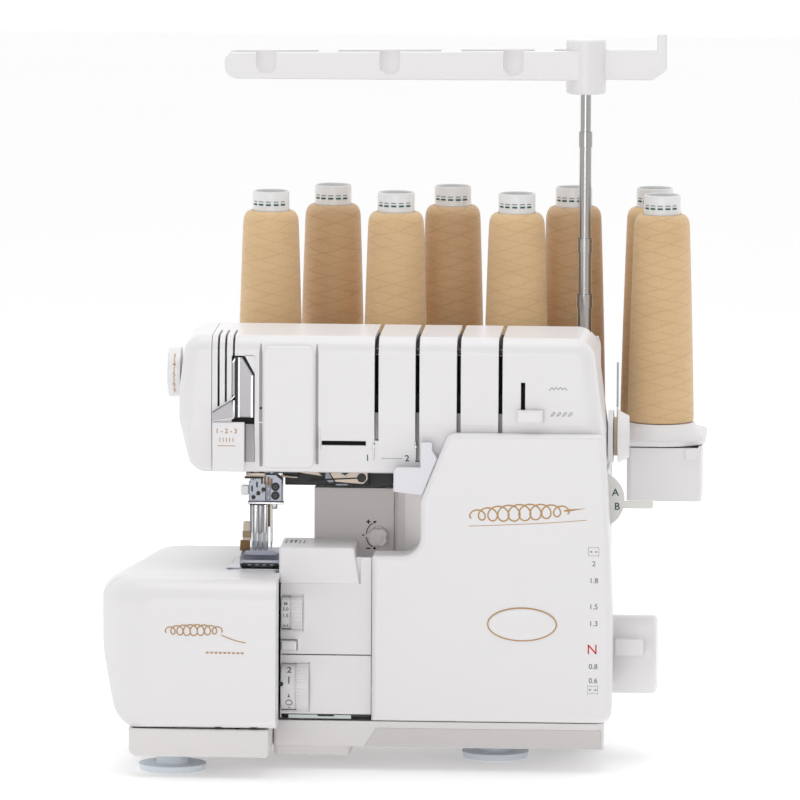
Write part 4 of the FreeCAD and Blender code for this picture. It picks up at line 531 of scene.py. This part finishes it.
# star knob: arrows for a longer and a shorter stitch
STAR_X, STAR_Z = STAR_PLACE
for name, side in (("more", 1), ("less", -1)):
    arc = []
    for step in range(9):
        angle, reach = math.radians(173 - 56 * step / 8), 9.5 + 0.6 * step / 8
        arc.append((STAR_X + reach * math.cos(angle), STAR_Z + side * reach * math.sin(angle)))
    stroke(f"stitch_{name}_arc", arc, -20.05, 0.75, "black_ink")
    plate(f"stitch_{name}_arrow",
          [(STAR_X - 4.7, STAR_Z + side * 10.5), (STAR_X - 1.8, STAR_Z + side * 10.7),
           (STAR_X - 3.4, STAR_Z + side * 8.3)],
          PANEL_FACE, 0.06, "black_ink", bevel=0.02)
    spot = STAR_Z + side * 9.9
    plate(f"stitch_{name}_bar", oblong(STAR_X - 9.5, STAR_X - 6.4, spot - 0.5, spot + 0.5), PANEL_FACE, 0.06,
          "black_ink", bevel=0.02)
plate("stitch_more_upright", oblong(STAR_X - 8.45, STAR_X - 7.45, STAR_Z + 8.3, STAR_Z + 11.5), PANEL_FACE, 0.07,
      "black_ink", bevel=0.02)
plate("stitch_tick", oblong(STAR_X - 12.6, STAR_X - 10.3, STAR_Z - 0.45, STAR_Z + 0.45), PANEL_FACE, 0.06,
      "black_ink", bevel=0.02)

# ---------------------------------------------------------------- needle clamp, needles and foot
NEEDLE, PRESSER = "needle_bar_body", "presser_body"
# black discs and slits on the needle clamp: painted shade standing in for its three holes and their slits, each hole
# with a bright steel ring
for step, (x, z) in enumerate(((-110.7, 195.4), (-107.1, 198.4), (-103.4, 201.1)), start=1):
    stud(f"clamp_hole_painted_shade_{step}", x, z, -66.0, 1.55, 0.25, "black", NEEDLE)
    wire(f"clamp_ring_{step}", oval(x, z, 1.85, 1.85, 24, -66.2), 0.16, "silver", NEEDLE, True)
    plate(f"clamp_slit_{step}", oblong(x - 1.75, x - 0.5, z + 4.2, z + 8.4), -65.95, 0.25, "black", NEEDLE)
plate("clamp_right_half", oblong(-101.6, -98.0, 192.6, 206.5), -65.95, 0.5, "dark_steel", NEEDLE)
# black strip: painted shade in the groove between the clamp's halves
plate("clamp_groove_painted_shade", oblong(-102.0, -101.5, 192.6, 208), -65.95, 0.7, "black", NEEDLE)
for step, z in enumerate((196.7, 203.2), start=1):
    stud(f"clamp_bolt_{step}", -94.6, z, -66.0, 3.1, 1.2, "black", NEEDLE)
    wire(f"clamp_bolt_socket_{step}", oval(-94.6, z, 1.2, 1.2, 6, -67.25), 0.2, "dark_steel", NEEDLE, True)
    stud(f"clamp_pin_{step}", -99.6, z - 1.5, -66.4, 0.7, 0.25, "steel", NEEDLE)
for step, x in enumerate((-102.2, -99.6, -97.4), start=1):
    plate(f"clamp_spring_{step}", oblong(x - 0.8, x + 0.6, 205.5 - step * 0.6, 212.6 - step * 1.1), -65.9, 1.0,
          "dark_bronze", NEEDLE)
plate("clamp_shadow_line", oblong(-114.6, -88.6, 192.1, 192.7), -65.95, 0.3, "black", NEEDLE)
block("clamp_foot_plate", (-115.0, -68.0, 190.4), (-88.4, -60, 191.9), "silver", NEEDLE, 0.3)
block("clamp_shadow_plate", (-113.5, -67.4, 189.5), (-101.5, -60, 190.3), "black", NEEDLE, 0.2)
turned("clamp_nub", [(0.02, 186.6), (1.7, 186.6), (2.0, 187.0), (2.0, 190.6)], (-95.2, -63.5, 0), "z", "silver",
       NEEDLE, 32)
block("white_peg", (-120.2, -65.5, 196.8), (-114.3, -60.5, 204.0), "tube", NEEDLE, 1.2)
block("guide_bar", (-116.2, -67.5, 210.6), (-101.8, -62.5, 213.6), "tan_metal", NEEDLE, 0.5)
block("guide_bar_under", (-117.4, -67, 209.2), (-103.5, -62.5, 210.5), "black", NEEDLE, 0.4)
block("guide_post_left", (-116.6, -66, 213.5), (-113.2, -62.5, 217.6), "silver", NEEDLE, 0.5)
block("guide_post_mid", (-112.8, -66, 213.5), (-111.2, -62.5, 217.4), "black", NEEDLE, 0.4)
block("guide_post_right", (-110.8, -66, 213.5), (-106.6, -62.5, 217.6), "silver", NEEDLE, 0.5)
# silver thread eyes, each with a black disc in the middle: painted shade standing in for the eye's hole
for step in range(3):
    stud(f"thread_eye_{step + 1}", -112.2 + 3.1 * step, 208.4 + 0.5 * (step % 2), -66.0, 1.1, 0.8, "silver", NEEDLE)
    stud(f"thread_eye_hole_painted_shade_{step + 1}", -112.2 + 3.1 * step, 208.4 + 0.5 * (step % 2), -66.75, 0.55, 0.12, "black",
         NEEDLE)
for step, x in enumerate((-112.9, -109.4, -105.9, -102.4)):
    wide = (0.55, 0.95, 1.25, 0.95)[step]
    block(f"needle_shank_{step + 1}", (x - wide, -63.4, 168.0), (x + wide, -61.6, 189.6),
          ("dark_steel", "silver", "plate", "silver")[step], NEEDLE, 0.35)
wire("front_needle", [(-98.2, -60, 189.5), (-98.2, -60, 162), (-98.0, -60, 156.5)], 0.42, "silver", NEEDLE)
block("thread_finger", (-101.0, -58.5, 172.5), (-98.9, -57, 189.5), "dark_bronze", NEEDLE, 0.4)
wire("finger_spring", [(-102.6, -64.2, 188.6), (-103.4, -64.2, 178), (-101.8, -64.2, 168.4)], 0.35, "silver", NEEDLE)
plate("lifter_top", [(-119.6, 161), (-113.6, 161), (-113.6, 174.8), (-117.6, 175.4), (-119.2, 174.6)], -48, 1.6,
      "tan_metal", PRESSER)
plate("lifter_middle", oblong(-119.8, -113.4, 163.2, 168.0), -48.2, 1.8, "bronze", PRESSER)
plate("lifter_low", [(-121.8, 153.4), (-114.2, 153.4), (-114.2, 160.8), (-121.3, 161.2)], -48, 2.2, "dark_bronze",
      PRESSER)
# a pale bar across the foot's toe face: painted highlight where the toe's edge catches the light
block("foot_toe_painted_highlight", (-113.4, -84.9, 149.5), (-96.0, -83.8, 150.8), "lavender", PRESSER, 0.3)
plate("foot_top", [(-118.2, 150.9), (-92.0, 150.9), (-93.6, 156.0), (-95.2, 156.8), (-114.6, 156.8), (-116.4, 156.0)],
      -71.5, 1.4, "foot_blue", PRESSER)
slab("plate_left_wing", [(-129.5, -88), (-118, -88), (-118, -62), (-122, -60), (-126, -63)], (145.3, 145.9),
     "foot_blue", MACHINE, "XY", 0.2)
block("foot_shadow", (-117.8, -84.5, 146.5), (-91.4, -83.6, 149.0), "black", PRESSER, 0.2)
for step in range(4):
    block(f"foot_tooth_{step + 1}", (-113.6 + 5.4 * step, -85.0, 146.8), (-110.8 + 5.4 * step, -84.0, 148.4),
          "dark_steel", PRESSER, 0.4)
for step, x in enumerate((-112.4, -108.6, -104.4)):
    block(f"foot_joint_{step + 1}", (x, -70.5, 153.4), (x + 2.8, -66, 157.6), "steel", PRESSER, 0.9)

# ---------------------------------------------------------------- works under the head
block("under_works", (-88.0, -58, 204.2), (-26.0, -53, 217.2), "black", MACHINE, 0.6)
block("under_box", (-89.4, -64, 211.6), (-77.0, -58, 217.0), "black", MACHINE, 0.8)
wire("under_rod", [(-90.6, -64.5, 211.6), (-87.5, -64.5, 210.6), (-78.4, -64.5, 210.2)], 0.85, "tan_metal", MACHINE)
plate("under_bracket", [(-76.6, 213.2), (-60.5, 211.0), (-62.5, 213.0), (-67.5, 217.0), (-76.6, 217.0)], -60, 1.5,
      "tan_metal")
plate("under_lever", [(-54.5, 212.8), (-50.6, 206.8), (-30.2, 205.3), (-26.9, 209.0), (-27.2, 214.5), (-52.0, 216.5)],
      -60, 1.5, "tan_metal")
plate("under_lever_dark", [(-57.5, 217), (-54.9, 212.6), (-51.5, 206.6), (-55.5, 206.2), (-58.5, 209)], -60, 1.2,
      "dark_steel")
wire("under_arm", [(-70, -62, 207.6), (-50, -62, 209.0), (-34, -62, 209.8)], 0.5, "black", MACHINE)
stud("under_screw", -31.4, 210.0, -61.4, 3.3, 1.4, "black", MACHINE)
wire("under_ring", oval(-43.7, 214.4, 3.4, 3.4, 32, -61.9), 0.5, "silver", MACHINE, True)
stud("under_ring_dark", -43.7, 214.6, -61.4, 2.6, 0.4, "black", MACHINE)
plate("under_bit", oblong(-50.6, -41.5, 203.8, 205.2), -58, 1.5, "dark_steel")

# ---------------------------------------------------------------- take-up plate, its window and the thread cutter
plate("window_corner", [(-107.2, 305.2), (-115.2, 305.2), (-107.2, 290.4)], -102.2, 2.8, "white", bevel=0.1)
plate("window_corner_line", [(-115.6, 305.0), (-116.5, 305.0), (-108.0, 289.4), (-107.4, 290.0)], -102.2, 2.4,
      "black", bevel=0.05)
plate("window_left_dark", oblong(-121.9, -119.8, 258.8, 304.2), -105.3, 0.6, "black")
plate("take_up_left_edge", oblong(-119.75, -118.3, 259.2, 303.4), -105.55, 0.35, "silver")
plate("take_up_right_edge", oblong(-110.5, -108.6, 259.2, 290.2), -105.55, 0.35, "silver")
plate("take_up_slant_edge", [(-117.0, 303.2), (-116.3, 303.2), (-108.9, 290.9), (-109.9, 290.9)], -105.55, 0.35,
      "dark_steel")
plate("window_strip", oblong(-124.0, -122.1, 275.5, 300.6), -104.6, 0.6, "plate")
plate("window_strip_tip", [(-124.2, 300.0), (-123.4, 298.8), (-120.6, 303.0), (-121.6, 303.8)], -104.9, 0.6, "silver")
plate("window_strip_hook", [(-125.6, 272.2), (-124.6, 271.8), (-121.7, 274.8), (-122.3, 275.8)], -105.2, 0.6, "silver")
plate("window_low_strip", oblong(-123.7, -122.0, 259.2, 271.6), -104.6, 0.6, "silver")
plate("window_back_grey", oblong(-114.6, -107.8, 226.2, 253.8), -99.4, 1.2, "window_grey")
plate("cutter_face", [(-138.2, 256.9), (-123.6, 259.2), (-124.0, 271.4), (-138.2, 262.8)], -108.15, 0.25, "plate")
plate("cutter_rim", [(-138.2, 262.9), (-124.0, 271.5), (-124.0, 272.3), (-138.2, 263.7)], -108.15, 0.3, "ink")
stud("groove_dot", -103.0, 266.2, -105.0, 0.95, 0.3, "black", MACHINE)
for number, (slot, low) in enumerate(((-18.4, 243.2), (11.5, 227.4), (41.7, 243.4), (72.2, 243.4)), start=1):
    plate(f"slot_grey_{number}", oblong(slot - SLOT_HALF, slot + SLOT_HALF, low, 263.2),
          -98.6 if low > 240 else -96.4, 0.8, "window_grey")
    for level in (305.4, 309.7):
        plate(f"slot_wire_{number}_{int(level)}", oblong(slot - SLOT_HALF, slot + SLOT_HALF, level, level + 0.45),
              -96, 0.5, "plate")
for number, x in enumerate((-20.4, 10.2), start=1):
    wire(f"slot_clip_{number}",
         [(x, chin(242) - 0.3, 242.4), (x - 0.1, chin(236) - 0.5, 236), (x, chin(228) - 0.4, 228.2)], 0.5, "silver",
         MACHINE)
    stud(f"slot_clip_dot_{number}", x + 0.1, 240.8, chin(240.8) - 0.2, 0.8, 0.5, "black", MACHINE)
    stud(f"slot_clip_ring_{number}", x + 0.1, 238.4, chin(238.4) - 0.2, 0.9, 0.7, "silver", MACHINE)


def groove_line(name, x, half, low, high, material):
    """A line drawn over the head's front, following its round top and its tucked-in chin."""
    shape = bmesh.new()
    rows = []
    for step in range(41):
        z = low + (high - low) * step / 40
        if z < 255.8:
            y = chin(z)
        elif z < 306.7:
            y = -105.06
        else:
            y = -93.0 - math.sqrt(max(12.06 ** 2 - (z - 306.7) ** 2, 0))
        thin = half * min(1, 0.35 + (high - z) / 10)
        rows.append([shape.verts.new(Vector((x + side * thin, y, z)) * MM) for side in (-1, 1)])
    for first, second in zip(rows, rows[1:]):
        shape.faces.new((first[0], first[1], second[1], second[0]))
    return from_bmesh(name, shape, material, MACHINE)


groove_line("cover_groove_left", -103.1, 1.15, 222.5, 313.5, "shade")
groove_line("cover_groove_right", -62.0, 1.05, 224.5, 313.5, "shade")
block("lamp_rib", (-60.8, -104.6, 235.8), (-59.3, -101.5, 253.5), "white", MACHINE, 0.6)

# ---------------------------------------------------------------- thumbwheels, tab and the edges round them
block("panel_edge_filler", (-87.9, -106.2, 38.0), (-87.25, -103.5, 137.0), "white", MACHINE, 0.1)
block("tab_backing", (-87.2, -102.6, 87.4), (-75.0, -101.4, 96.4), "white", MACHINE, 0.1)
block("guard_backing", (-32.5, -104.6, 137.2), (-29.0, -101.0, 157.0), "white", MACHINE, 0.1)
for name, body, z, radius, right, rim, teeth in (
        ("width", "width_wheel_body", 115.6, 13.1, -71.8, -80.4, 36),
        ("selector", "selector_wheel_body", 60.8, 17.9, -67.0, -76.4, 50)):
    outline = []
    for tooth in range(teeth):
        for part, reach in ((0.0, 0.32), (0.52, 0.32), (0.6, 0.04), (0.92, 0.04)):
            angle = math.tau * (tooth + part) / teeth
            outline.append((WHEEL_Y + (radius + reach) * math.cos(angle), z + (radius + reach) * math.sin(angle)))
    slab(f"{name}_ridges", outline, (rim + 0.3, right + 0.1), "white", body, "YZ", 0.12)
    for side in (-1, 1):
        edge = z + side * (radius - 0.5)
        block(f"{name}_gap_{'top' if side > 0 else 'low'}", (-87.2, -105.7, min(edge, edge + side * 1.3)),
              (right + 1.2, -104.3, max(edge, edge + side * 1.3)), "white", MACHINE, 0.1)
    block(f"{name}_gap_right", (right + 0.25, -105.7, z - radius - 0.8), (right + 1.2, -103.6, z + radius + 0.8),
          "white", MACHINE, 0.1)


def on_wheel(piece, z, radius, spot):
    """Turns a flat mark, drawn round the origin facing the front, on to a wheel's rim at an angle in degrees."""
    piece.data.transform(Matrix.Translation((0, WHEEL_Y * MM, z * MM)) @ Matrix.Rotation(-math.radians(spot), 4, "X")
                         @ Matrix.Translation((0, -radius * MM, 0)))
    return piece


for words, spot in (("M", 35), ("5.0", 15.6), ("1.5", -5.5), ("3.5", -47)):
    on_wheel(printed("width_" + words.replace(".", "_"), words, -83.9, 0, -0.05, 3.6, "ink", "width_wheel_body"),
             *WIDTH_WHEEL, spot)
for words, spot, size in (("2", 49, 7.6), ("1", 21, 7.6)):
    on_wheel(printed("selector_" + words, words, -81.0, 0, -0.05, size, "ink", "selector_wheel_body", weight=0.06),
             *SELECTOR_WHEEL, spot)
on_wheel(wire("selector_ring",
              [(-81.0 + 2.3 * math.cos(math.tau * s / 24), 0, 2.5 * math.sin(math.tau * s / 24)) for s in range(24)],
              0.3, "ink", "selector_wheel_body", True), *SELECTOR_WHEEL, -36.7)
for spot, tall in ((-17, 2.2), (-58, 1.6)):
    on_wheel(slab(f"selector_arrow_{-spot}", [(-81.9, -tall / 2), (-81.0, tall), (-80.1, -tall / 2)], (-0.03, -0.1),
                  "ink", "selector_wheel_body", bevel=0.02), *SELECTOR_WHEEL, spot)
stud("selector_pointer", -86.6, 64.6, -118.6, 1.6, 0.5, "black", MACHINE)
block("pointer_arm", (-87.7, -118.4, 63.2), (-86.4, -104, 66.0), "white", MACHINE, 0.4)

# ---------------------------------------------------------------- closing cover at the back, under the arm
block("rear_lower_cover", (-87.7, 49.2, 37.3), (-8.4, 51.7, 140.6), "white", MACHINE, 0.8)
for number, (x, z) in enumerate(((-82, 44), (-14, 44), (-82, 134), (-14, 134)), start=1):
    turned(f"rear_cover_screw_{number}", [(0.02, -0.4), (2.8, -0.4), (2.8, 0.3), (2.5, 0.6), (0.02, 0.6)],
           (x, 51.7, z), "y", "chrome", MACHINE, 32)
# black plates on the rear cover: painted shade standing in for vent openings
for row in range(6):
    block(f"rear_vent_painted_shade_{row + 1}", (-66, 51.5, 60 + row * 6), (-30, 51.9, 62.2 + row * 6), "black", MACHINE, 0.15)

# ---------------------------------------------------------------- strip below the panels, and painted shade on the base's sunk lower band
plate("threading_strip", oblong(-82, -36, 37.4, 40.2), -103.4, 1.4, "pale_steel")
plate("threading_strip_dark", oblong(-60.5, -48.5, 39.0, 40.9), -104.6, 0.4, "black")
plate("threading_strip_right", oblong(-36, -22, 38.6, 40.9), -103.6, 0.6, "black")
# a thin darker plate standing slightly proud of the base: painted shade where its lower band sinks in
plate("base_band_painted_shade", [(-26.4, 17.6), (147.5, 17.6), (147.5, 31.2), (-17.5, 31.2)], -105.95, 0.18, "base_low",
      bevel=0.15)
for step, (x, wide) in enumerate(((-85.4, 0.7), (-81.9, 1.5), (-78.6, 1.5), (-75.4, 0.7), (-72.2, 0.7)), start=1):
    outline = oblong(x - wide / 2, x + wide / 2, -88, -71)
    if wide >= 1:
        outline = [(x - 1.1, -71), (x - 0.3, -86), (x + 0.3, -86), (x + 1.1, -71)]
    slab(f"guard_tick_{step}", outline, (164.47, 164.56), "mark", MACHINE, "XY", 0.02)

# ---------------------------------------------------------------- side thread guide
turned("side_guide_ribs",
       [(13.3, 152.9)] + [(14.0 + 0.35 * (step % 2), 153.0 + 0.28 * step) for step in range(11)] + [(13.3, 155.9)],
       (0, -30, 239), "x", "tan_plastic", "side_guide_body", 72)
wire("side_wire_cover", [(154.8, -12, 258.8), (154.8, -12, 275), (154.8, -12, 291.8)], 0.8, "steel", MACHINE)

# ---------------------------------------------------------------- floor, lights, camera
floor_mesh = bpy.data.meshes.new("floor")
floor_mesh.from_pydata([(-6, -6, 0), (6, -6, 0), (6, 6, 0), (-6, 6, 0)], [], [(0, 1, 2, 3)])
floor = bpy.data.objects.new("floor", floor_mesh)
bpy.context.scene.collection.objects.link(floor)
pale = Nodes("pale_floor")
pale.join(pale.colours(pale.noise(3, 3), (0.93, 0.93, 0.93), (0.95, 0.95, 0.95)), pale.shader.inputs["Base Color"])
pale.set(Roughness=0.6, Specular_IOR_Level=0.2, Emission_Color=(1, 1, 1, 1), Emission_Strength=0.2)
floor_mesh.materials.append(pale.material)

world = bpy.data.worlds.new("studio")
bpy.context.scene.world = world
world.use_nodes = True
world.node_tree.nodes["Background"].inputs["Color"].default_value = (1, 1, 1, 1)
sky = world.node_tree
heading = sky.nodes.new("ShaderNodeSeparateXYZ")
sky.links.new(sky.nodes.new("ShaderNodeTexCoord").outputs["Generated"], heading.inputs[0])
fade = sky.nodes.new("ShaderNodeMapRange")
fade.inputs["From Min"].default_value, fade.inputs["From Max"].default_value = -1.0, 0.6
fade.inputs["To Min"].default_value, fade.inputs["To Max"].default_value = 0.22, 1.15
sky.links.new(heading.outputs["Y"], fade.inputs["Value"])
sky.links.new(fade.outputs[0], sky.nodes["Background"].inputs["Strength"])
bpy.context.scene.view_settings.view_transform = "Standard"


def lamp(name, place, aim, size, power):
    light = bpy.data.lights.new(name, "AREA")
    light.shape, light.size, light.size_y, light.energy = "RECTANGLE", size[0], size[1], power
    holder = bpy.data.objects.new(name, light)
    holder.location = place
    holder.rotation_euler = (Vector(aim) - Vector(place)).to_track_quat("-Z", "Y").to_euler()
    bpy.context.scene.collection.objects.link(holder)


MIDDLE = (0, 0, 0.25)
lamp("top_box", (0.0, -0.2, 1.9), MIDDLE, (1.6, 1.2), 11)
lamp("left_box", (-1.5, -1.3, 0.9), MIDDLE, (0.9, 1.4), 1)
lamp("right_box", (1.6, -1.0, 0.8), MIDDLE, (0.8, 1.2), 0.5)
lamp("front_box", (-0.1, -2.4, 0.5), MIDDLE, (1.2, 0.7), 9)

camera = bpy.data.objects.new("camera", bpy.data.cameras.new("camera"))
bpy.context.scene.collection.objects.link(camera)
bpy.context.scene.camera = camera
DISTANCE, AZIMUTH, ELEVATION, ROLL = 8.0, math.radians(3), math.radians(7), math.radians(0.29)
aim = Vector((-0.0067, 0, 0.2604))
back = Vector((math.sin(AZIMUTH) * math.cos(ELEVATION), -math.cos(AZIMUTH) * math.cos(ELEVATION), math.sin(ELEVATION)))
camera.location = aim + back * DISTANCE
camera.rotation_mode = "QUATERNION"
camera.rotation_quaternion = (-back).to_track_quat("-Z", "Y") @ Quaternion((0, 0, 1), ROLL)
camera.data.sensor_width = 36
camera.data.lens = 486.5
camera.data.clip_start, camera.data.clip_end = 0.5, 40
